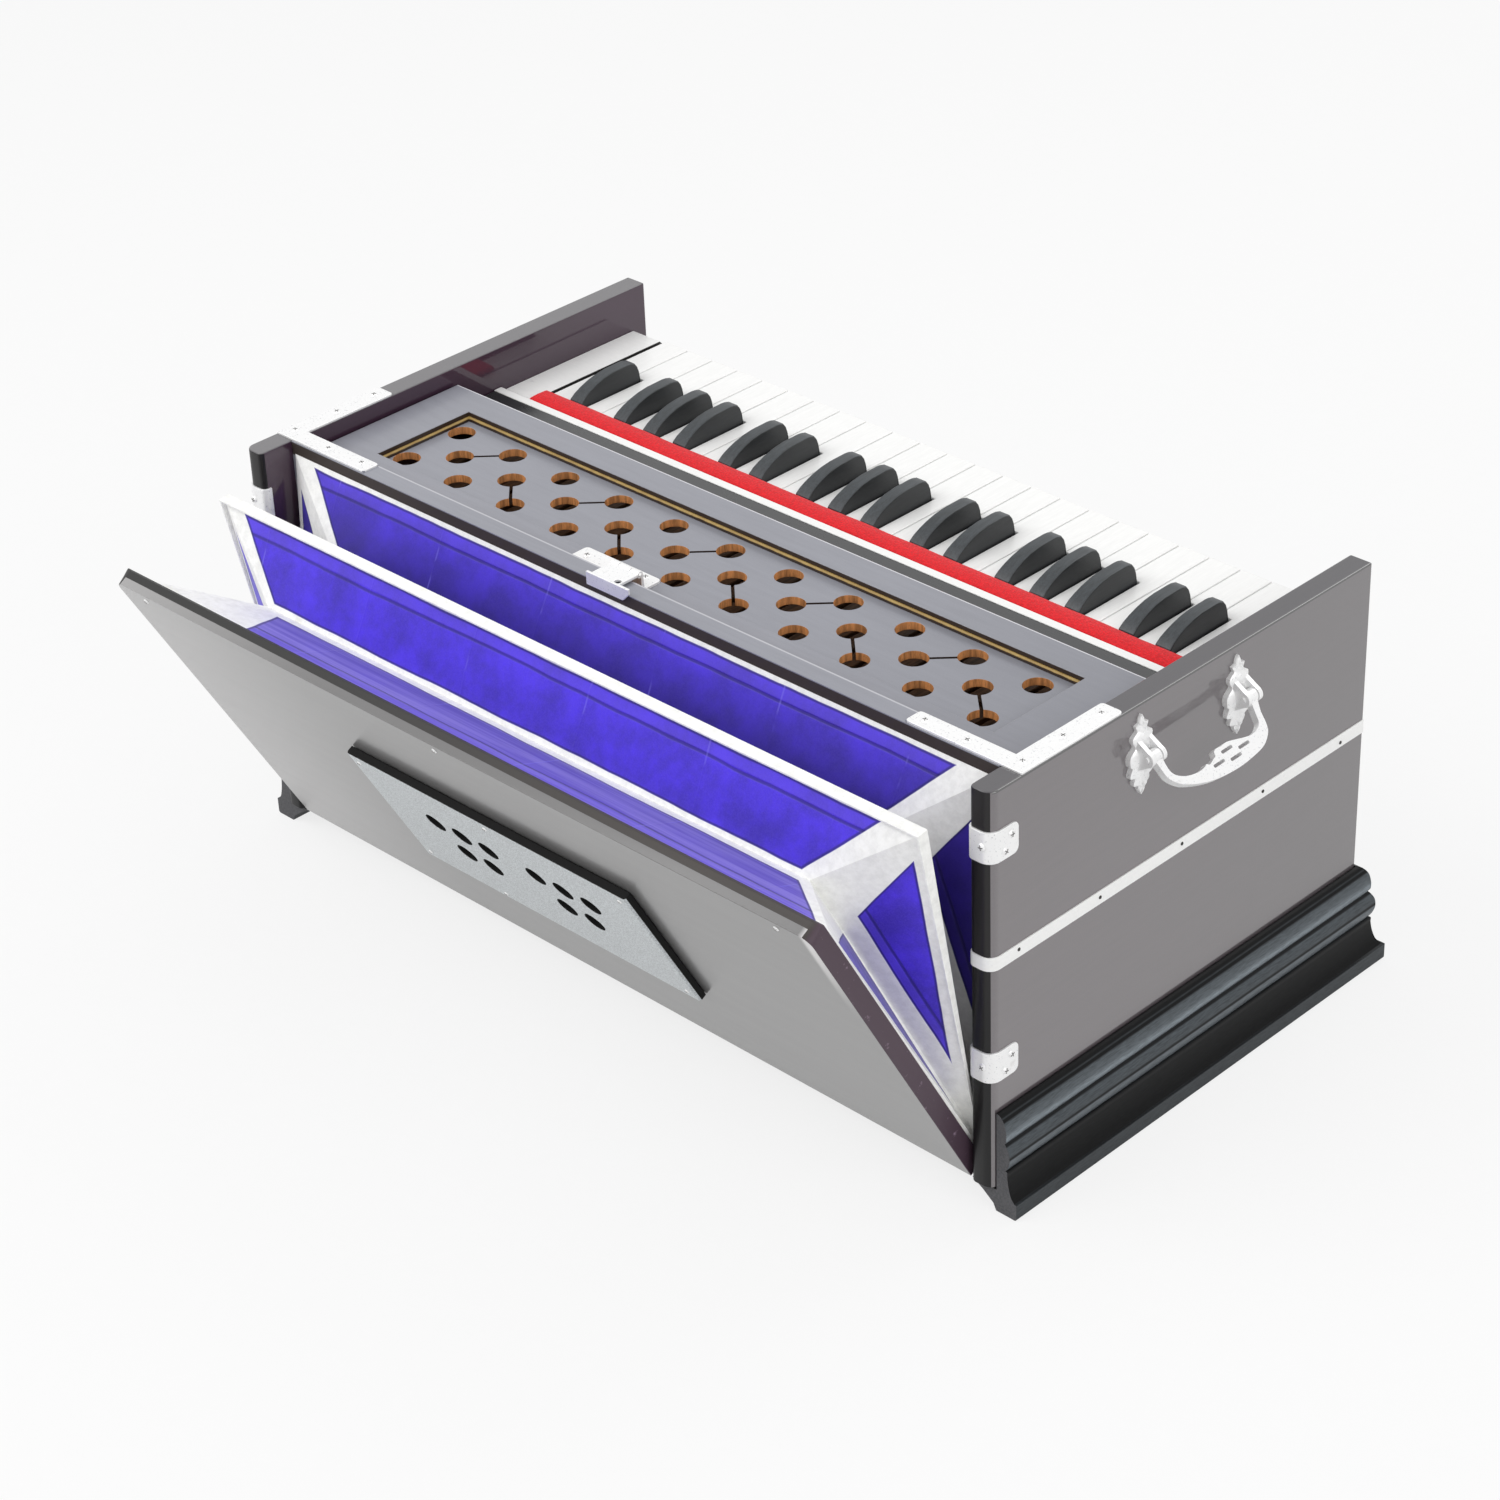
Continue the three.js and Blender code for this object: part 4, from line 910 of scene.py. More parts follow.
def moulding_section():
    """Profile of the base moulding, as distance out from the panel and height above the floor."""
    r, h, tuck, top = MOULDING_REACH, MOULDING_HEIGHT, 16.0, 13.7
    cut_points = (0, 4, 5, 10, 12, 15)
    face = []
    for a, b in zip(cut_points, cut_points[1:]):
        part = [(MOULDING_FACE[i][0] * r, MOULDING_FACE[i][1] * h) for i in range(a, b + 1)]
        face += (curve_through(part, 4) if len(part) > 2 else part)[:-1]
    face.append((0.9 * r, 0.165 * h))
    return [(0.3, top), (0.3, h), *face, (r, 10.0), (r, 1.0), (r - 1, 0.0), (0.0, 0.0),
            (-0.12 * tuck, 0.3 * top), (-0.55 * tuck, 0.68 * top), (-tuck, top)]


# Nails in the inlay: where they are, and (radius, height) points of a head
NAILS_Y = (20.0, 82.0, 147.0, 214.0, 281.0)
NAIL_DOME = ((0, 1.15), (0.55, 1.05), (0.95, 0.8), (1.1, 0.4), (1.1, 0.0), (0, 0))


class HARMONIUM_OT_case(bpy.types.Operator):
    """Builds the case: end panels with their inlay, base mouldings, walls and reed board"""
    bl_idname = "harmonium.case"
    bl_label = "Case"

    def execute(self, context):
        made = mix_finishes(context)
        settings = context.scene.harmonium_case
        rounding = settings.edge_round * 1000

        def end_panel(side, word):
            bm = bmesh.new()
            plan = nose_path(0, DEPTH, 3.0)[:-1] + [(INNER_HALF, DEPTH)]
            prism(bm, plan, "z", LIFT + GAP, HEIGHT)
            mirrored(bm, side)
            piece(f"{word}_end_panel_wood", bm, "case", made["panel"],
                  [f"{word}_end_panel"], rounding, 40, 2,
                  {"nose": lambda n, c: n.y < -0.62 or (n.y < -0.05 and n.x * side < 0.3),
                   "inner_face": lambda n, c: n.x * side < -0.5})

            bm = bmesh.new()
            width = settings.inlay_width * 1000
            wrap(bm, settings.inlay_rise * 1000, DEPTH - 0.3, 8.0, INLAY_Z - width / 2, INLAY_Z + width / 2)
            mirrored(bm, side)
            piece(f"{word}_inlay_strip", bm, "case", made["ivory"], (), 0.35, 40)

            bm = bmesh.new()
            for y in NAILS_Y:
                turned(bm, NAIL_DOME, (HALF + 0.2, y, INLAY_Z + 0.9 * math.sin(y)), (1, 0, 0), 10)
            mirrored(bm, side)
            piece(f"{word}_inlay_nails", bm, "case", made["dark"])

        both_sides(end_panel)

        section = moulding_section()
        far = DEPTH + MOULDING_REACH

        def moulding(side, word):
            bm = bmesh.new()
            prism(bm, [(HALF + o, z) for o, z in section], "y", 3.4, far + 20)
            corner = Vector((HALF, DEPTH - 0.3, 0))
            bmesh.ops.bisect_plane(bm, geom=bm.verts[:] + bm.edges[:] + bm.faces[:], plane_co=corner,
                                   plane_no=(-1, 1, 0), clear_outer=True)
            bmesh.ops.holes_fill(bm, edges=[e for e in bm.edges if e.is_boundary])
            mirrored(bm, side)
            piece(f"{word}_moulding_profile", bm, "case", made["moulding"],
                  [f"{word}_base_moulding"], 0.35, 24, 2, {"end_grain": lambda n, c: n.y < -0.9})

        both_sides(moulding)
        bm = bmesh.new()
        prism(bm, [(DEPTH + o, z) for o, z in section], "x", -HALF - 40, HALF + 40)
        for side in (1, -1):
            bmesh.ops.bisect_plane(bm, geom=bm.verts[:] + bm.edges[:] + bm.faces[:],
                                   plane_co=(side * HALF, DEPTH, 0), plane_no=(side, -1, 0), clear_outer=True)
            bmesh.ops.holes_fill(bm, edges=[e for e in bm.edges if e.is_boundary])
        piece("player_moulding_profile", bm, "case", made["moulding_long"],
              ["player_base_moulding"], 0.35, 24)

        dress("case_body", made["case"])
        dress("reed_board", made["reeds"])
        dress("right_key_block", made["ivory"], 0.6)
        dress("left_key_block", made["ivory"], 0.6)
        return {"FINISHED"}


# Metal fittings on the case
def screw(bm, centre, normal, radius):
    """A raised countersunk screw head; its cross is made apart by screw_slots."""
    r = radius
    profile = [(0, 0.52 * r), (0.42 * r, 0.47 * r), (0.78 * r, 0.3 * r), (r, 0.06 * r), (r, -0.3), (0, -0.3)]
    turned(bm, profile, centre, normal, 18)


def screw_slots(bm, centre, normal, radius, turn):
    """The cross of a screw head, coloured as painted shade."""
    n = Vector(normal).normalized()
    frame_turn = n.to_track_quat("Z", "Y").to_matrix().to_4x4() @ Matrix.Rotation(turn, 4, "Z")
    for angle in (0.0, math.pi / 2):
        made = block(bm, -radius * 0.66, radius * 0.66, -radius * 0.11, radius * 0.11, -0.2, radius * 0.53)
        matrix = Matrix.Translation(centre) @ frame_turn @ Matrix.Rotation(angle, 4, "Z")
        bmesh.ops.transform(bm, matrix=matrix, verts=made)


def screws(name, spots, body, made, side, radius):
    """A group of screws on one body, with their dark crosses."""
    heads, slots = bmesh.new(), bmesh.new()
    for i, (centre, normal) in enumerate(spots):
        screw(heads, centre, normal, radius)
        screw_slots(slots, centre, normal, radius, 0.4 + 0.9 * i)
    mirrored(heads, side)
    mirrored(slots, side)
    piece(name, heads, body, made["metal"])
    piece(name + "_crosses", slots, body, made["groove"])


LEAF_OUTLINE = (
    (0.0, 1.0), (0.07, 0.955), (0.10, 0.90), (0.24, 0.885), (0.20, 0.845), (0.19, 0.81), (0.36, 0.76),
    (0.36, 0.70), (0.29, 0.655), (0.30, 0.62), (0.47, 0.56), (0.50, 0.49), (0.47, 0.43), (0.40, 0.405),
    (0.41, 0.37), (0.46, 0.32), (0.44, 0.275), (0.30, 0.255), (0.27, 0.225), (0.30, 0.18), (0.26, 0.14),
    (0.13, 0.12), (0.10, 0.07), (0.05, 0.03), (0.0, 0.0),
)


LEAF_BOTTOM, LEAF_TALL, LEAF_WIDE = 201.0, 46.0, 20.5
LUG_NEAR, LUG_FAR, LUG_RADIUS = 2.9, 5.6, 4.2
PIN_HALF, PIN_RADIUS = 6.3, 1.6


def leaf_mount(bm, y):
    """Cast leaf on the end panel, domed and veined, with two lugs and a pin for the bail's eye."""
    rows = curve_through(LEAF_OUTLINE, 2)
    rings = []
    for wide, up in rows:
        half = max(0.25, wide * LEAF_WIDE)
        z = LEAF_BOTTOM + up * LEAF_TALL
        dome = 1.6 + 4.4 * max(0.0, 1 - abs(up - 0.47) / 0.55) ** 0.7
        ring = [(HALF - 1.0, y - half, z), (HALF - 1.0, y + half, z)]
        for i in range(9):
            u = 1 - i / 4
            vein = 0.75 * math.cos(u * 9.0 + up * 26.0) * (1 - abs(u)) - 0.9 * max(0.0, 1 - abs(u) * 4)
            rise = dome * (1 - 0.45 * u * u) + vein
            ring.append((HALF + max(0.5, rise), y + u * half, z))
        rings.append(ring)
    made = [[bm.verts.new(p) for p in ring] for ring in rings]
    edges = [[bm.edges.new(pair) for pair in zip(ring, ring[1:] + ring[:1])] for ring in made]
    for first, second in zip(edges, edges[1:]):
        bmesh.ops.bridge_loops(bm, edges=first + second)
    bm.faces.new(made[0])
    bm.faces.new(made[-1])
    for near in (-1, 1):
        a, b = sorted((y + near * LUG_NEAR, y + near * LUG_FAR))
        arc = [(PIVOT_X + LUG_RADIUS * math.cos(t), PIVOT_Z + LUG_RADIUS * math.sin(t))
               for t in (math.radians(-75 + 15 * i) for i in range(11))]
        prism(bm, [(HALF - 1, PIVOT_Z - 12.0), *arc, (HALF - 1, PIVOT_Z + 11.0)], "y", a, b)
    rod(bm, (PIVOT_X, y - PIN_HALF, PIVOT_Z), (PIVOT_X, y + PIN_HALF, PIVOT_Z), PIN_RADIUS, 16)


# Edge clips and corner brackets of the bass end. Screws are (x, y).
CLIPS_Z = (90.0, 220.5)
CLIP_THICK, CLIP_LEG, CLIP_INNER = 1.05, 19.5, 5.0
BRACKET_OUTLINE = ((203.8, 23.3), (279.4, 23.3), (279.4, 99.2), (265.8, 99.2), (265.8, 34.9), (203.8, 34.9))
BRACKET_LOW, BRACKET_TOP = 251.85, 253.25
BRACKET_SCREWS = ((212.0, 29.2), (240.0, 28.6), (272.8, 31.5), (272.4, 62.0), (272.8, 90.5))


class HARMONIUM_OT_fittings(bpy.types.Operator):
    """Builds the metal fittings: edge clips, corner brackets, handle mounts and their screws"""
    bl_idname = "harmonium.fittings"
    bl_label = "Metal fittings"

    def execute(self, context):
        made = mix_finishes(context)
        tall = context.scene.harmonium_case.clip_height * 1000

        def fit(side, word):
            bm = bmesh.new()
            spots = []
            for z in CLIPS_Z:
                wrap(bm, CLIP_THICK, CLIP_LEG, CLIP_INNER, z - tall / 2, z + tall / 2)
                ends = [e for e in bm.edges if all(v.co.y > CLIP_LEG - 0.1 for v in e.verts)
                        and abs(e.verts[0].co.x - e.verts[1].co.x) > 1 and abs(e.verts[0].co.z - z) < tall]
                round_corners(bm, ends, 3.6)
                spots += [((HALF + 1.0, 14.0, z + 3.6), (1, 0, 0)), ((HALF + 1.0, 9.5, z - 4.2), (1, 0, 0)),
                          ((HALF - 5.0, -1.0, z + 0.5), (0, -1, 0))]
            mirrored(bm, side)
            piece(f"{word}_edge_clips", bm, "case", made["metal"], (), 0.35, 40)
            screws(f"{word}_clip_screws", spots, "case", made, side, 2.1)

            bm = bmesh.new()
            prism(bm, BRACKET_OUTLINE, "z", BRACKET_LOW, BRACKET_TOP)
            corners = [e for e in bm.edges if abs(e.verts[0].co.z - e.verts[1].co.z) > 1
                       and (e.verts[0].co.y > 90 or e.verts[0].co.x < 210)]
            round_corners(bm, corners, 2.2)
            mirrored(bm, side)
            piece(f"{word}_corner_bracket", bm, "case", made["metal"], (), 0.35, 40)
            top = [((x, y, BRACKET_TOP - 0.05), (0, 0, 1)) for x, y in BRACKET_SCREWS]
            screws(f"{word}_bracket_screws", top, "case", made, side, 2.0)

            bm = bmesh.new()
            for y in PIVOTS_Y:
                leaf_mount(bm, y)
            mirrored(bm, side)
            piece(f"{word}_handle_mounts", bm, "case", made["metal"], (), 0.3, 50)

        both_sides(fit)
        return {"FINISHED"}


# Cover. Rectangles are half the length, the front and the back.
COVER_TOP = 242.0
COVER_THICK = 10.0
PANEL_TOP = 236.7
COVER_OUTLINE = (264, 36, 146.4)
COVER_WINDOW = (232, 57, 126.4)
COVER_REBATE = (237, 52, 131.4)
HOLE_PITCH, ROW_PITCH, FIRST_ROW = 43.602, 21.0, 70.0
HOLES, HOLES_MIDDLE = 11, -4.5

# Catch: the plate on the cover, its raised seat, and the strap that turns on the pin
CATCH_PLATE = ((-58.2, 41.8), (-0.9, 41.8), (-0.9, 56.6), (-58.2, 56.6))
CATCH_SEAT = ((41.9, COVER_TOP), (44.6, COVER_TOP), (43.6, 252.6), (43.1, 254.4), (41.9, 254.9))
CATCH_SCREWS = ((-50.5, 49.2, 243.5), (-28.5, 49.4, 243.5), (-9.0, 52.6, 243.5))
STRAP_TOP, STRAP_THICK, STRAP_PIN_Y = 254.9, 1.6, 39.6
STRAP_LIP = ((-20, 249.4), (7.5, 249.4), (12, 253.9), (12, 257.3), (-20, 257.3))
KNUCKLES = ((-20, -14.2), (-13.6, -5.4), (-4.8, 1))


class HARMONIUM_OT_cover(bpy.types.Operator):
    """Builds the hinged cover: frame, bead, pierced sound panel, hinge plate and catch"""
    bl_idname = "harmonium.cover"
    bl_label = "Cover"

    def execute(self, context):
        made = mix_finishes(context)
        settings = context.scene.harmonium_cover

        bm = bmesh.new()
        low = COVER_TOP - COVER_THICK
        step_z = PANEL_TOP + GAP
        loops(bm, [rectangle(*COVER_OUTLINE, low), rectangle(*COVER_OUTLINE, COVER_TOP),
                   rectangle(*COVER_WINDOW, COVER_TOP), rectangle(*COVER_WINDOW, step_z),
                   rectangle(*COVER_REBATE, step_z), rectangle(*COVER_REBATE, low)])
        piece("cover_frame_wood", bm, "cover", made["cover"], ["cover_frame"], 0.8, 40, 3,
              {"inner_wall": lambda n, c: abs(n.z) < 0.5 and abs(c.x) < 0.234 and c.y > (50 + SHIFT) / 1000
               and c.y < (134 + SHIFT) / 1000})

        bm = bmesh.new()
        w = settings.bead_width * 1000
        foot, crest = PANEL_TOP - 0.1, PANEL_TOP + 2.4
        half, front, back = COVER_WINDOW
        loops(bm, [rectangle(half - inset, front + inset, back - inset, z) for inset, z in
                   ((-GAP, foot), (-GAP, crest), (0.35 * w, crest), (0.75 * w, crest - 0.5),
                    (0.9 * w, crest - 1.2), (w, foot))])
        piece("recess_bead", bm, "cover", made["bead"], (), 0.2, 30)

        bm = bmesh.new()
        half, front, back = COVER_REBATE
        block(bm, GAP - half, half - GAP, front + GAP, back - GAP, low, PANEL_TOP)
        r = settings.hole_radius * 1000
        start = HOLES_MIDDLE - HOLE_PITCH * (HOLES - 1) / 2
        middle_row = FIRST_ROW + ROW_PITCH
        centres = [(start + i * HOLE_PITCH, middle_row + way * ROW_PITCH) for i in range(HOLES) for way in (-1, 1)]
        between = [(start + (i + 0.5) * HOLE_PITCH, middle_row) for i in range(HOLES - 1)]
        centres += between
        holes, slots = bmesh.new(), bmesh.new()
        for x, y in centres:
            rod(holes, (x, y, low - 3), (x, y, PANEL_TOP + 3), r, 40)
        for i, (x, y) in enumerate(between):
            line = block(slots, 0, math.hypot(HOLE_PITCH / 2, ROW_PITCH), -settings.slot_width * 500,
                         settings.slot_width * 500, low - 2, PANEL_TOP + 2)
            angle = math.atan2(ROW_PITCH if i % 2 == 0 else -ROW_PITCH, HOLE_PITCH / 2)
            turn = Matrix.Translation((x, y, 0)) @ Matrix.Rotation(angle, 4, "Z")
            bmesh.ops.transform(slots, matrix=turn, verts=line)
        bm = carve(carve(bm, holes), slots)

        def in_hole(c):
            return min(math.dist((c.x * 1000, c.y * 1000 - SHIFT), spot) for spot in centres) < r + 0.4

        piece("sound_panel_pierced", bm, "cover", made["cover"], ["sound_panel"], 0.25, 40, 2,
              {"inner_wall": lambda n, c: abs(n.z) < 0.5 and in_hole(c),
               "slot_wall": lambda n, c: abs(n.z) < 0.5 and not in_hole(c)})

        bm = bmesh.new()
        prism(bm, CATCH_PLATE, "z", COVER_TOP - 0.4, COVER_TOP + 1.55)
        upright = [e for e in bm.edges if abs(e.verts[0].co.z - e.verts[1].co.z) > 1]
        round_corners(bm, upright, 2.4)
        prism(bm, CATCH_SEAT, "x", -19.1, -0.9)
        piece("catch_plate", bm, "cover", made["metal"], (), 0.45, 35)
        screws("catch_plate_screws", [(spot, (0, 0, 1)) for spot in CATCH_SCREWS], "cover", made, 1, 2.1)

        bm, hole = bmesh.new(), bmesh.new()
        strap_low = STRAP_TOP - STRAP_THICK
        block(bm, -20, 1, 20.2, STRAP_PIN_Y, strap_low, STRAP_TOP)
        prism(bm, STRAP_LIP, "y", 20.1, 21.7)
        rod(hole, (-2, 26.3, strap_low - 3), (-2, 26.3, STRAP_TOP + 3), 2.0, 24)
        bm = carve(bm, hole)
        pin = (STRAP_PIN_Y, STRAP_TOP - STRAP_THICK / 2)
        for a, b in KNUCKLES:
            rod(bm, (a, *pin), (b, *pin), 2.1, 28)
        rod(bm, (-21, *pin), (2, *pin), 1.1, 16)
        piece("catch_strap", bm, "catch", made["metal"], ["cover_catch"], 0.35, 35)
        return {"FINISHED"}


# Keyboard. The black head's side is a list of (y, height above the white keys), up to its front.
LEVER_HALF, LEVER_TAIL = 4.6, 62
LEVER_LOW, LEVER_TOP = 212.0, 218.0
PALLET_ENDS, PALLET_LOW, PALLET_TOP = (66, 102), 204.3, 212.3
WHITE_GAP = 0.4
BLACK_HALF, BLACK_RISE, BLACK_LEAN = 5.5, 13.0, 0.26
NECK_REACH = 6.0
HEAD_THICK = 12
RAMP = ((236.0, 13.0), (224.0, 12.8), (216.5, 11.8), (210.0, 10.0), (204.5, 7.8), (200.0, 5.4), (196.6, 2.6),
        (196.6, 0.0))
BLACK_NOSE = ((0.0, 0.0), (0.4, 6.0), (1.3, 9.4), (3.0, 11.8), (6.0, 12.7))
RAIL = ((147.6, 220.4), (180.9, 220.4), (180.9, 226.4), (147.6, 226.4))
RAIL_STRIP = ((175.3, 226.1), (181.0, 226.1), (181.0, 226.9), (175.3, 226.9))
FELT_FRONT, FELT_BACK, FELT_LOW, FELT_TOP = 181.3, 196.0, 224.6, 227.2


def is_black(key):
    return key % 12 in BLACK_STEPS


def lane(key):
    return FIELD_BASS - (key + 0.5) * LANE_PITCH


def white_index(key):
    return key // 12 * 7 + key % 12 - sum(step < key % 12 for step in BLACK_STEPS)


def lever_parts(bm, key):
    """Wooden lever behind the key's head, with the pallet under its tail."""
    x = lane(key)
    block(bm, x - LEVER_HALF, x + LEVER_HALF, LEVER_TAIL, KEY_LINE + 6, LEVER_LOW, LEVER_TOP)
    block(bm, x - LEVER_HALF, x + LEVER_HALF, *PALLET_ENDS, PALLET_LOW, PALLET_TOP)


def white_head(bm, key):
    centre = FIELD_BASS - (white_index(key) + 0.5) * WHITE_PITCH
    low, high = centre - WHITE_PITCH / 2 + WHITE_GAP, centre + WHITE_PITCH / 2 - WHITE_GAP
    last = key == KEY_COUNT - 1
    if last:
        low += LAST_KEY_INSET
    above = not last and is_black(key + 1)
    below = key > 0 and is_black(key - 1)
    neck_low = lane(key + 1) + NECK_REACH if above else low
    neck_high = lane(key - 1) - NECK_REACH if below else high
    if last:
        neck_high -= KEY_RELIEF
    notch = BLACK_FRONT + NOTCH_GAP
    plan = [(neck_low, KEY_LINE), (neck_high, KEY_LINE), (neck_high, notch), (high, notch), (high, WHITE_FRONT),
            (low, WHITE_FRONT), (low, notch), (neck_low, notch)]
    kept = [p for i, p in enumerate(plan) if math.dist(p, plan[i - 1]) > 0.01]
    prism(bm, kept, "z", KEY_TOP - HEAD_THICK, KEY_TOP)


def black_head(bm, key):
    """Black key head: a long ramp from the felt, a level top and sides that lean in."""
    x = lane(key)
    low = KEY_TOP - HEAD_THICK
    side = [(KEY_LINE, low), (BLACK_FRONT, low)]
    side += [(BLACK_FRONT - back, KEY_TOP + rise) for back, rise in BLACK_NOSE]
    side += [(y, KEY_TOP + rise) for y, rise in RAMP] + [(KEY_LINE, KEY_TOP)]
    prism(bm, side, "x", x - BLACK_HALF, x + BLACK_HALF)
    for v in [v for v in bm.verts if v.co.z > KEY_TOP + 0.01]:
        squeeze = 1 - BLACK_LEAN * (v.co.z - KEY_TOP) / BLACK_RISE
        v.co.x = x + (v.co.x - x) * squeeze


class HARMONIUM_OT_keyboard(bpy.types.Operator):
    """Builds the keys with their levers and pallets, the rail in front of them and the felt"""
    bl_idname = "harmonium.keyboard"
    bl_label = "Keyboard"

    def execute(self, context):
        made = mix_finishes(context)
        settings = context.scene.harmonium_keys
        end = INNER_HALF - GAP
        bm = bmesh.new()
        prism(bm, RAIL, "x", -end, end)
        piece("key_rail_wood", bm, "case", made["rail"], ["key_rail"], 0.9, 40)
        bm = bmesh.new()
        prism(bm, RAIL_STRIP, "x", -end + 0.2, end - 0.2)
        piece("rail_strip", bm, "case", made["ivory"], (), 0.25, 40)

        bm = bmesh.new()
        crown = settings.felt_crown * 1000
        a, b, top = FELT_FRONT, FELT_BACK, FELT_TOP
        prism(bm, [(a, FELT_LOW), (b, FELT_LOW), (b, top - crown), (b - 0.35 * crown, top - 0.3 * crown),
                   (b - crown, top), ((a + b) / 2, top + 0.25), (a + crown, top),
                   (a + 0.35 * crown, top - 0.3 * crown), (a, top - crown)], "x", FIELD_TREBLE, FIELD_BASS)
        bmesh.ops.subdivide_edges(bm, edges=[e for e in bm.edges if abs(e.verts[0].co.x - e.verts[1].co.x) > 100],
                                  cuts=90)
        for v in bm.verts:
            if v.co.z > top - crown - 0.01 and FIELD_TREBLE + 1 < v.co.x < FIELD_BASS - 1:
                v.co.z += 0.16 * math.sin(v.co.x * 0.11) * math.sin(v.co.x * 0.037 + 1.0)
                v.co.y += 0.22 * math.sin(v.co.x * 0.083) * math.sin(v.co.x * 0.029 + 2.0)
        piece("felt_strip_soft", bm, "case", made["felt"], ["felt_strip"])

        for key in range(KEY_COUNT):
            black = is_black(key)
            word = "black" if black else "white"
            bm = bmesh.new()
            (black_head if black else white_head)(bm, key)
            lever_parts(bm, key)
            rounding = settings.black_round if black else settings.white_round
            number = f"{key + 1:02d}"
            piece(f"{word}_key_{number}", bm, f"key_body_{number}",
                  made[f"{word}_key"], [f"key_{number}_{word}"], rounding * 1000, 38, 2,
                  {"key_side": lambda n, c: abs(n.x) > 0.7} if black else None)
        return {"FINISHED"}


# Bellows
def fan(angle, radius, offset, half):
    """A point on a frame that fans out from the hinge line, in millimetres."""
    a = math.radians(angle)
    return Vector((half, HINGE[0] - radius * math.sin(a) + offset * math.cos(a),
                   HINGE[1] + radius * math.cos(a) + offset * math.sin(a)))


def frame_corners(angle, radius, offset, top_inset=0.0):
    """Corners of one frame: bottom left, bottom right, top right, top left."""
    b, t = BELLOWS_HALF, BELLOWS_HALF - top_inset
    return [fan(angle, FOOT, offset, -b), fan(angle, FOOT, offset, b), fan(angle, radius, offset, t),
            fan(angle, radius, offset, -t)]


def line_distance(point, a, b, inside):
    """Signed distance from the line a-b, growing towards inside, for points in one plane."""
    along = (b - a).normalized()
    reach = point - a
    across = inside - a
    across = (across - along * across.dot(along)).normalized()
    return reach.dot(across)


def leaf_reach(point, rim, fold, widths):
    """Distances of a leaf's point from the edges of its four tapes, in metres."""
    centre = sum([*rim, *fold], Vector()) / 4
    to_rim = line_distance(point, rim[0], rim[1], centre)
    to_fold = line_distance(point, fold[0], fold[1], centre)
    first = line_distance(point, rim[0], fold[0], centre)
    second = line_distance(point, rim[1], fold[1], centre)
    rim_width, fold_width, first_width, first_grow, second_width, second_grow = widths
    values = (to_rim - rim_width, to_fold - fold_width, first - first_width - first_grow * to_rim,
              second - second_width - second_grow * to_rim)
    return [v / 1000 for v in values]


# The four leaves beside a frame, in order: bottom, right, top, left. Tape widths on each: at its rim,
# at its fold, and at its two ends with their growth away from the rim
NEAR_WIDTHS = (
    (6.0, 4.0, 8.0, 0.0, 8.0, 0.0),
    (6.5, 12.5, 5.0, 0.1, 8.5, 0.5),
    (2.6, 3.0, 14.0, -0.18, 10.0, -0.12),
    (6.5, 12.5, 8.5, 0.5, 5.0, 0.1),
)
FAR_WIDTHS = (
    (6.0, 4.0, 8.0, 0.0, 8.0, 0.0),
    (9.0, 1.5, 5.0, 0.1, 8.5, 0.5),
    (3.2, 6.5, 4.0, 0.05, 58.0, -1.05),
    (9.0, 1.5, 8.5, 0.5, 5.0, 0.1),
)
# How far the pasted edge lies in, on the top and bottom leaves from the rim, and on the ends from the fold
NEAR_CREASE = {"level": 4.5, "end": 12.5}
FAR_CREASE = {"level": 7.5, "end": 1.5}

# How much painted lilac sheen each leaf gets, and how much painted shade darkens it at its rim and at its fold
REAR_NEAR_TONES = ((0.0, 0.3, 0.5), (0.0, 0.55, 0.8), (0.0, 0.02, 0.75), (0.0, 0.5, 0.7))
REAR_FAR_TONES = ((0.0, 0.3, 0.5), (0.0, 0.7, 0.8), (0.3, 0.2, 0.7), (0.0, 0.5, 0.7))
FRONT_NEAR_TONES = ((0.0, 0.3, 0.5), (0.0, 0.0, 0.12), (0.0, 0.0, 0.14), (0.0, 0.0, 0.1))
FRONT_FAR_TONES = ((0.0, 0.3, 0.5), (0.8, 0.2, 0.45), (0.85, 0.0, 0.25), (0.6, 0.0, 0.2))


def leaf_tone(point, rim, fold, tones, creases, level):
    """How much painted sheen and painted shade a leaf's point gets, and its distance from the leaf's pasted edge.
    """
    centre = sum([*rim, *fold], Vector()) / 4
    to_rim = line_distance(point, rim[0], rim[1], centre)
    to_fold = line_distance(point, fold[0], fold[1], centre)
    share_in = to_rim / (to_rim + to_fold)
    lilac_sheen, shallow, deep = tones
    crease = to_rim - creases["level"] if level else to_fold - creases["end"]
    return lilac_sheen, shallow + (deep - shallow) * share_in, crease / 1000, 1.0


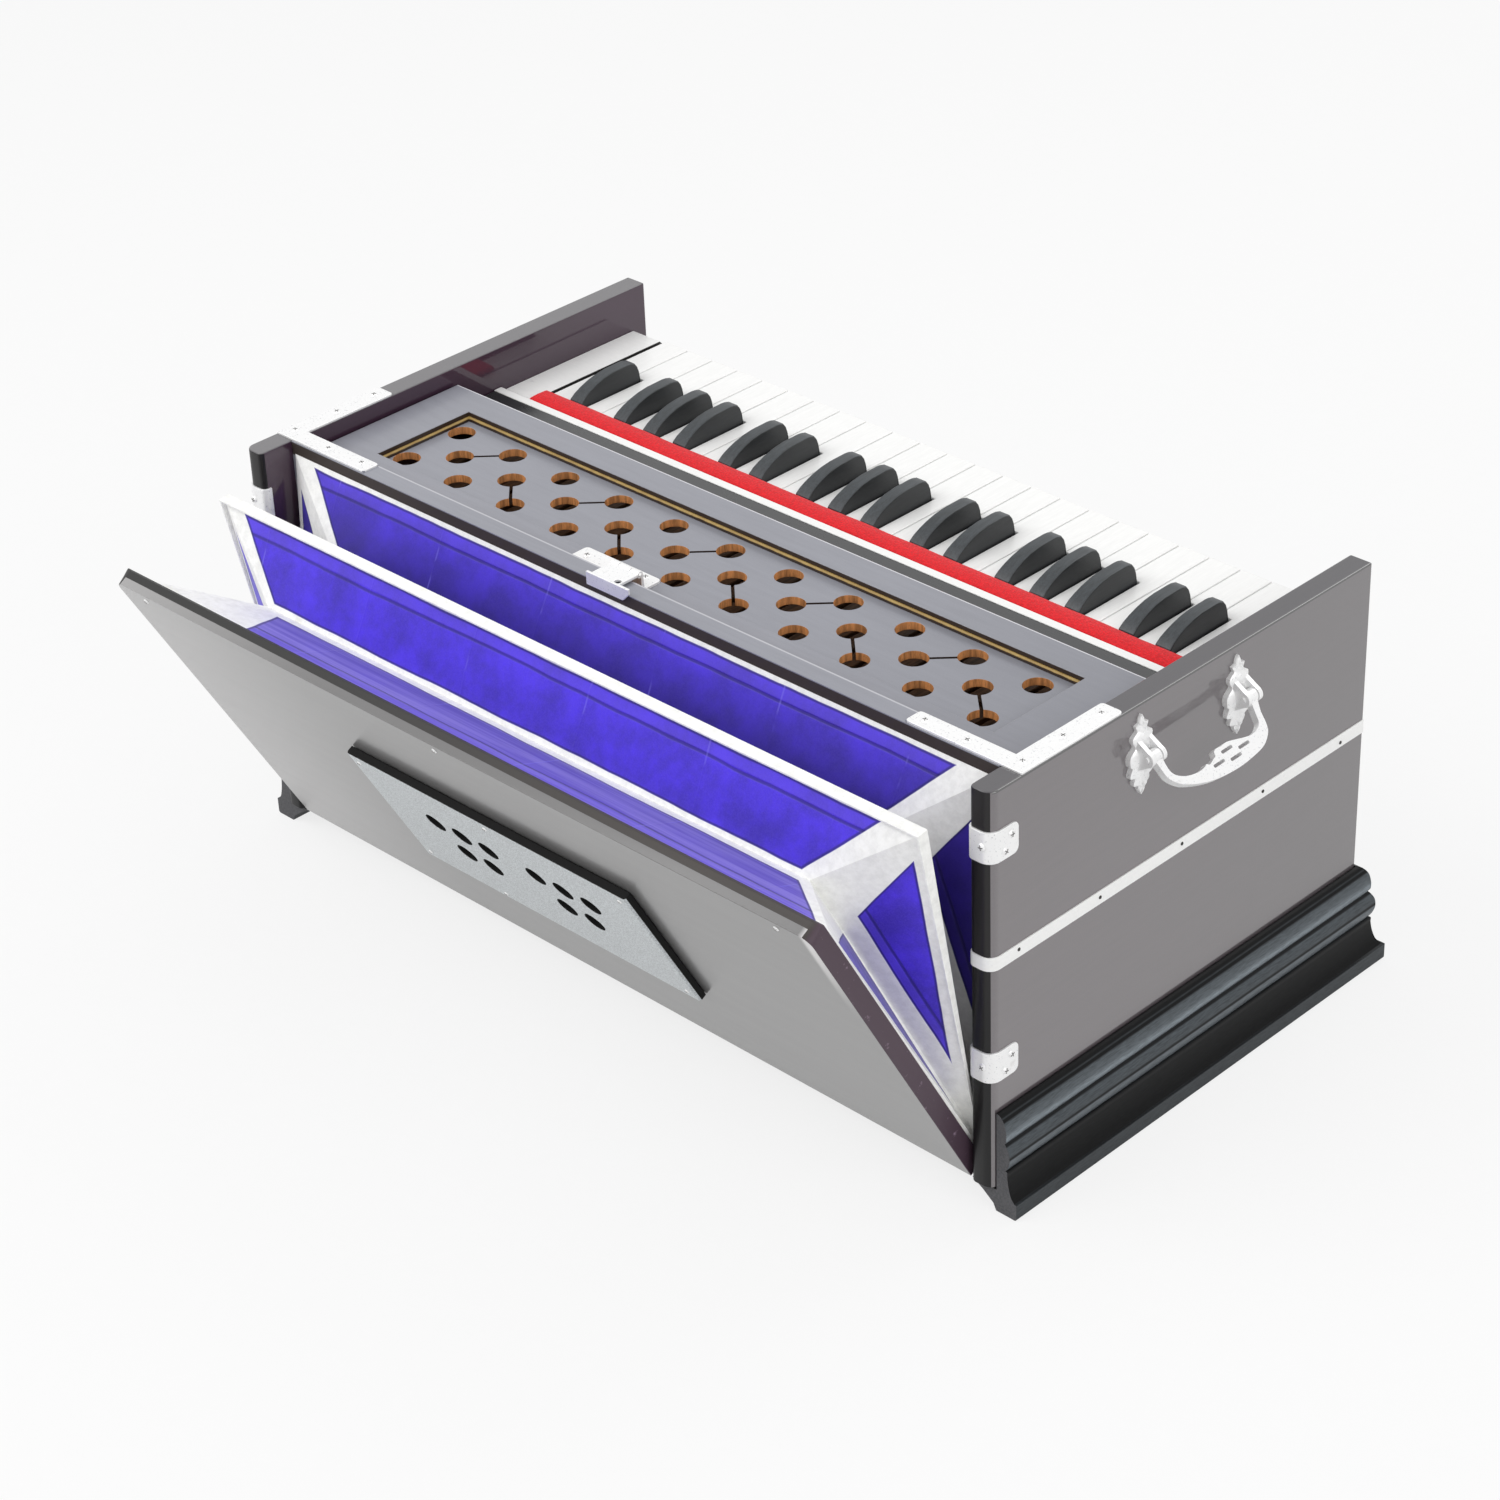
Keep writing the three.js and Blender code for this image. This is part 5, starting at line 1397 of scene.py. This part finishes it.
def pleat(name, near, valley, far, made, replaced, thick, near_tones, far_tones):
    """One fold of the bellows: eight flat leaves between two frames and the valley between them.
    It has no rows of points inside a leaf."""
    mesh = bpy.data.meshes.new(name)
    bm = bmesh.new()
    reach = bm.loops.layers.float_color.new("tape_reach")
    toned = bm.loops.layers.float_color.new("leaf_tone")
    rings = [[bm.verts.new(p) for p in corners] for corners in (near, valley, far)]
    fold = rings[1]
    for rim, widths, tones, creases, way in ((rings[0], NEAR_WIDTHS, near_tones, NEAR_CREASE, 1),
                                             (rings[2], FAR_WIDTHS, far_tones, FAR_CREASE, -1)):
        for i in range(4):
            j = (i + 1) % 4
            face = bm.faces.new([rim[i], rim[j], fold[j], fold[i]][::way])
            sides = (rim[i].co, rim[j].co), (fold[i].co, fold[j].co)
            for loop in face.loops:
                loop[reach] = leaf_reach(loop.vert.co, *sides, widths[i])
                loop[toned] = leaf_tone(loop.vert.co, *sides, tones[i], creases, i % 2 == 0)
    bm.normal_update()
    top = [f for f in bm.faces if f.calc_center_median().z > 200 and abs(f.calc_center_median().x) < 1]
    if top and sum(f.normal.z for f in top) < 0:
        bmesh.ops.reverse_faces(bm, faces=bm.faces)
    place(bm)
    bm.to_mesh(mesh)
    bm.free()
    obj = add_object(name, mesh)
    mesh.materials.append(made["cloth"])
    wall = obj.modifiers.new("Cloth thickness", "SOLIDIFY")
    wall.thickness = thick
    wall.offset = -1.0
    wall.use_even_offset = True
    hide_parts(replaced)
    across = Vector(far[2]) - Vector(near[2])
    across.x = 0
    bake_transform(obj)


def ridge_band(bm, angle, radius, half_width, foot, thick=1.3, grow=0.7, taper=0.02):
    """Tape over the outside edges of a frame: over its top and down both ends."""
    b = BELLOWS_HALF + grow
    r = radius + grow
    outer = [(-b, foot), (-b, r), (b, r), (b, foot)]
    inner = [(-b + thick, foot), (-b + thick, r - thick), (b - thick, r - thick), (b - thick, foot)]
    points = outer + inner[::-1]
    rings = []
    for way in (-1, 1):
        ring = []
        for x, height in points:
            wide = half_width * (taper + (1 - taper) * min(1.0, height / radius))
            ring.append(bm.verts.new(fan(angle, height, way * wide, x)))
        rings.append(ring)
    bm.faces.new(rings[0])
    bm.faces.new(rings[1][::-1])
    for i in range(len(points)):
        j = (i + 1) % len(points)
        bm.faces.new((rings[0][j], rings[0][i], rings[1][i], rings[1][j]))


class HARMONIUM_OT_bellows(bpy.types.Operator):
    """Builds the two folds of the bellows with their leather tapes"""
    bl_idname = "harmonium.bellows"
    bl_label = "Bellows"

    def execute(self, context):
        made = mix_finishes(context)
        settings = context.scene.harmonium_bellows
        wall = frame_corners(0, WALL_RADIUS, WALL_FRONT - GAP - HINGE[0])
        rear_valley = frame_corners(*REAR_VALLEY)
        ridge_rear = frame_corners(RIDGE_ANGLE, RIDGE_RADIUS, GAP / 2)
        ridge_front = frame_corners(RIDGE_ANGLE, RIDGE_RADIUS, -GAP / 2)
        front_valley = frame_corners(*FRONT_VALLEY)
        board = frame_corners(BOARD_ANGLE, BOARD_RADIUS, GAP)
        pleat("rear_fold", wall, rear_valley, ridge_rear, made, "bellows_rear_pleat",
              settings.cloth_thick, REAR_NEAR_TONES, REAR_FAR_TONES)
        pleat("front_fold", ridge_front, front_valley, board, made, "bellows_front_pleat",
              settings.cloth_thick, FRONT_NEAR_TONES, FRONT_FAR_TONES)
        bm = bmesh.new()
        ridge_band(bm, RIDGE_ANGLE, RIDGE_RADIUS + 0.4, settings.ridge_tape * 1000, FOOT)
        piece("ridge_tape", bm, "bellows_middle", made["tape"], ["bellows_ridge_strip"], 0.5, 30, 3)
        return {"FINISHED"}


# Bellows board and its air plate
LEANING = Matrix.Translation((0, *HINGE)) @ Matrix.Rotation(math.radians(BOARD_ANGLE), 4, "X")


def lean(bm):
    """From the board's own upright frame to its place at rest."""
    bmesh.ops.transform(bm, matrix=LEANING, verts=bm.verts)


def lean_point(x, y, z):
    return tuple(LEANING @ Vector((x, y, z)))


AIR_RADIUS = 6.8
AIR_HOLES = [(side * 39.5 + across, z) for side in (-1, 1)
             for across, z in ((-21, 127), (0, 127), (21, 127), (-10.5, 103.5), (10.5, 103.5))]
BOARD_HALF, BOARD_TOP, BOARD_THICK, BOARD_CHAMFER = 264.0, 231.9, 11.0, 1.6
BOARD_LIP = 5.0
PLATE_HALF, PLATE_LOW, PLATE_TOP, PLATE_THICK, PLATE_BEVEL = 108.0, 65.0, 166.0, 5.0, 1.2
PLATE_SCREWS = ((-39.7, 69.5), (-101, 71.0), (101, 71.0), (-101, 160.0), (101, 160.0), (0, 161.0))
BOARD_SCREWS = ((-2.0, 226.0), (-240.0, 226.0), (240.0, 226.0))
FLAP = ((-91, -1.0), (-91, 1.8), (91, 1.8), (91, -1.0))


def drill(low, high, radius):
    tool = bmesh.new()
    for x, z in AIR_HOLES:
        rod(tool, (x, low, z), (x, high, z), radius, 32)
    return tool


class HARMONIUM_OT_board(bpy.types.Operator):
    """Builds the bellows board with its air plate, the leather flap behind it and its screws"""
    bl_idname = "harmonium.board"
    bl_label = "Bellows board"

    def execute(self, context):
        made = mix_finishes(context)
        settings = context.scene.harmonium_bellows
        bm = bmesh.new()
        end, top, thick = BOARD_HALF, BOARD_TOP, BOARD_THICK
        side = [(0, 0), (0, top - BOARD_CHAMFER), (-BOARD_CHAMFER, top), (-thick, top), (-thick, 0)]
        prism(bm, side, "x", -end, end)
        corners = [e for e in bm.edges if abs(e.verts[0].co.y - e.verts[1].co.y) > 5 and e.verts[0].co.z > top - 1
                   and abs(e.verts[0].co.x) > end - 1]
        round_corners(bm, corners, 7.0, 5)
        bm = carve(bm, drill(-thick - 5, -1.4, AIR_RADIUS))
        bmesh.ops.bisect_plane(bm, geom=bm.verts[:] + bm.edges[:] + bm.faces[:],
                               plane_co=(0, BOARD_LIP - thick, 0), plane_no=(0, 1, 0))
        lean(bm)
        face_normal = Vector((0, -math.cos(math.radians(BOARD_ANGLE)), -math.sin(math.radians(BOARD_ANGLE))))
        start = (Vector(lean_point(0, -thick, top)) + Vector((0, SHIFT, 0))) / 1000

        def dark_edge(normal, centre):
            depth = (start - centre).dot(face_normal) * 1000
            on_lip = abs(normal.x) < 0.3 and normal.z > 0.5 and depth < BOARD_LIP
            return normal.dot(face_normal) < 0.9 and not on_lip

        piece("board_wood", bm, "bellows_leaf", made["board"], ["bellows_board"],
              settings.board_round * 1000, 40, 3, {"edge_wood": dark_edge})

        bm = bmesh.new()
        w, slope, back = PLATE_HALF, PLATE_BEVEL, -thick - GAP
        face = back - PLATE_THICK
        prism(bm, [(-w, back), (-w, face + slope), (-w + slope, face), (w - slope, face), (w, face + slope),
                   (w, back)], "z", PLATE_LOW, PLATE_TOP)
        bm = carve(bm, drill(face - 5, back + 5, AIR_RADIUS))
        lean(bm)
        piece("air_plate", bm, "bellows_leaf", made["plate"], ["intake_plate"], 0.5, 40, 2,
              {"rim": lambda n, c: n.dot(face_normal) < 0.5})

        bm = bmesh.new()
        prism(bm, FLAP, "z", 88.0, 146.0)
        lean(bm)
        piece("air_flap", bm, "bellows_leaf", made["tape"], (), 0.5, 40)

        normal = tuple(face_normal)
        spots = [(lean_point(x, face, z), normal) for x, z in PLATE_SCREWS]
        screws("air_plate_screws", spots, "bellows_leaf", made, 1, 1.5)
        spots = [(lean_point(x, -thick, z), normal) for x, z in BOARD_SCREWS]
        screws("board_screws", spots, "bellows_leaf", made, 1, 1.7)
        return {"FINISHED"}


# Bail handles
BAIL_OUTER = (
    (-1.6, 1.0), (-1.0, 6.6), (-0.1, 12.7), (3.4, 17.2), (8.4, 20.6), (18.9, 24.4), (29.2, 26.4), (43.4, 27.4),
    (56.1, 26.6), (66.7, 24.7), (73.7, 20.2), (75.9, 15.5), (77.0, 9.1), (80.4, 1.0),
)
BAIL_INNER = (
    (3.9, 1.0), (3.2, 8.7), (5.2, 13.5), (11.4, 17.0), (19.3, 18.4), (24.4, 18.0), (26.6, 17.2), (28.4, 18.3),
    (32.2, 17.0), (34.4, 16.3), (35.2, 13.9), (37.8, 13.2), (41.0, 13.4), (45.9, 13.2), (51.4, 14.4),
    (57.4, 15.9), (62.6, 16.8), (67.6, 16.2), (71.6, 13.8), (73.0, 9.0), (75.0, 1.0),
)
BAIL_SLITS = ((34.2, 20.3), (46.3, 22.0), (43.4, 16.4), (55.0, 19.0))


def tilt_bail(bm):
    """From the bail's own plane to its place on the right end panel at rest."""
    turn = Matrix.Translation((PIVOT_X, 0, PIVOT_Z)) @ Matrix.Rotation(-BAIL_TILT, 4, "Y")
    bmesh.ops.transform(bm, matrix=turn, verts=bm.verts)


class HARMONIUM_OT_handles(bpy.types.Operator):
    """Builds the two bail handles with their pierced casting and eyes"""
    bl_idname = "harmonium.handles"
    bl_label = "Handles"

    def execute(self, context):
        made = mix_finishes(context)
        base = PIVOTS_Y[0] - 1.16

        def bail(side, word):
            bm = bmesh.new()
            outer = curve_through(BAIL_OUTER, 4)
            inner = curve_through(BAIL_INNER, 3)
            outline = [(base + u, -v) for u, v in outer + inner[::-1]]
            prism(bm, outline, "x", -2.1, 2.1)
            tool = bmesh.new()
            for u, v in BAIL_SLITS:
                slot_points = []
                for i in range(12):
                    a = 2 * math.pi * i / 12
                    reach = 3.4 if math.cos(a) > 0 else -3.4
                    slot_points.append((base + u + reach + 0.95 * math.cos(a), -v + 0.95 * math.sin(a)))
                prism(tool, slot_points, "x", -6, 6)
            bmesh.ops.recalc_face_normals(bm, faces=bm.faces)
            bmesh.ops.recalc_face_normals(tool, faces=tool.faces)
            bm = carve(bm, tool)
            for y in PIVOTS_Y:
                rod(bm, (0, y - 2.5, 0), (0, y + 2.5, 0), 3.8, 28)
            tilt_bail(bm)
            mirrored(bm, side)
            piece(f"{word}_bail", bm, f"{word}_bail", made["metal"], [f"{word}_handle"], 1.1, 40, 3)

        both_sides(bail)
        return {"FINISHED"}


# Stage
def aim(obj, target):
    direction = Vector(target) - obj.location
    obj.rotation_euler = direction.to_track_quat("-Z", "Y").to_euler()


def soft_lamp(name, place_at, target, wide, power):
    data = bpy.data.lights.new(name, "AREA")
    data.shape = "SQUARE"
    data.size = wide
    data.energy = power
    lamp = add_object(name, data)
    lamp.location = place_at
    aim(lamp, target)


CAMERA_AT = (1263.44, -1118.94, 1194.44)
CAMERA_YAW, CAMERA_PITCH, CAMERA_ROLL = 0.7969, -0.5504, -0.0424
CAMERA_LENS = 89.12


class HARMONIUM_OT_stage(bpy.types.Operator):
    """Sets the pale floor, the soft lamps and the camera"""
    bl_idname = "harmonium.stage"
    bl_label = "Stage"

    def execute(self, context):
        settings = context.scene.harmonium_stage
        bm = bmesh.new()
        bmesh.ops.create_grid(bm, x_segments=1, y_segments=1, size=settings.floor_half)
        mesh = to_mesh("floor", bm)
        floor = add_object("floor", mesh)
        floor.location = (0, 0, -0.0002)
        paint = Paint("Pale floor")
        seen = paint.direct_rays()
        grit = paint.noise(90.0, 3.0)
        tone = paint.mix(grit, (0.80, 0.80, 0.80), (0.84, 0.84, 0.84))
        matt = paint.node("ShaderNodeBsdfDiffuse", {}, {"Color": tone})[0]
        lit = paint.node("ShaderNodeEmission", {}, {"Color": (1.0, 1.0, 1.0), "Strength": 1.0})[0]
        paint.output(paint.node("ShaderNodeMixShader", {}, {0: seen * 0.8, 1: matt, 2: lit})[0])
        mesh.materials.append(paint.material)

        world = bpy.data.worlds.new("Studio")
        context.scene.world = world
        paint = Paint("Studio", world)
        seen = paint.direct_rays()
        strength = settings.sky + seen * (1.0 - settings.sky)
        background = paint.node("ShaderNodeBackground", {}, {"Color": (1.0, 1.0, 1.0), "Strength": strength})[0]
        paint.node("ShaderNodeOutputWorld", {}, {"Surface": background})

        soft_lamp("Key lamp", (-0.9, -1.5, 1.9), (0, 0, 0.12), 1.6, settings.key_power)
        soft_lamp("Side lamp", (1.9, -0.2, 1.2), (0, 0, 0.12), 1.2, settings.fill_power)
        soft_lamp("Back lamp", (0.2, 1.8, 1.8), (0, 0, 0.15), 1.2, settings.fill_power)

        data = bpy.data.cameras.new("Camera")
        data.sensor_width = 36.0
        data.sensor_fit = "HORIZONTAL"
        data.lens = CAMERA_LENS
        data.clip_start = 0.05
        data.clip_end = 60.0
        camera = add_object("Camera", data)
        yaw, pitch, roll = CAMERA_YAW, CAMERA_PITCH, CAMERA_ROLL
        ahead = Vector((-math.sin(yaw) * math.cos(pitch), math.cos(yaw) * math.cos(pitch), math.sin(pitch)))
        right = Vector((math.cos(yaw), math.sin(yaw), 0))
        up = right.cross(ahead)
        right_rolled = right * math.cos(roll) + up * math.sin(roll)
        up_rolled = up * math.cos(roll) - right * math.sin(roll)
        matrix = Matrix((right_rolled, up_rolled, -ahead)).transposed().to_4x4()
        spot = Vector((CAMERA_AT[0], CAMERA_AT[1] + SHIFT, CAMERA_AT[2])) / 1000
        camera.matrix_world = Matrix.Translation(spot) @ matrix
        context.scene.camera = camera
        context.scene.view_settings.view_transform = "Standard"
        return {"FINISHED"}


STEPS = (
    HARMONIUM_OT_case,
    HARMONIUM_OT_fittings,
    HARMONIUM_OT_cover,
    HARMONIUM_OT_keyboard,
    HARMONIUM_OT_bellows,
    HARMONIUM_OT_board,
    HARMONIUM_OT_handles,
    HARMONIUM_OT_stage,
)
GROUPS = {
    "harmonium_case": HarmoniumCaseSettings,
    "harmonium_cover": HarmoniumCoverSettings,
    "harmonium_keys": HarmoniumKeySettings,
    "harmonium_bellows": HarmoniumBellowsSettings,
    "harmonium_finish": HarmoniumFinishSettings,
    "harmonium_stage": HarmoniumStageSettings,
}


class HARMONIUM_PT_panel(bpy.types.Panel):
    """Lists the settings and the building steps"""
    bl_idname = "HARMONIUM_PT_panel"
    bl_label = "Indian Harmonium"
    bl_space_type = "VIEW_3D"
    bl_region_type = "UI"
    bl_category = "Harmonium"

    def draw(self, context):
        for name in GROUPS:
            box = self.layout.box()
            group = getattr(context.scene, name)
            for key in group.__annotations__:
                box.prop(group, key)
        for step in STEPS:
            self.layout.operator(step.bl_idname)


def register():
    for kind in (*GROUPS.values(), *STEPS, HARMONIUM_PT_panel):
        bpy.utils.register_class(kind)
    for name, kind in GROUPS.items():
        setattr(bpy.types.Scene, name, PointerProperty(type=kind))


def unregister():
    for name in GROUPS:
        delattr(bpy.types.Scene, name)
    for kind in (HARMONIUM_PT_panel, *reversed(STEPS), *reversed(list(GROUPS.values()))):
        bpy.utils.unregister_class(kind)


def main():
    register()
    for step in STEPS:
        group, name = step.bl_idname.split(".")
        getattr(getattr(bpy.ops, group), name)()


if __name__ == "__main__":
    main()
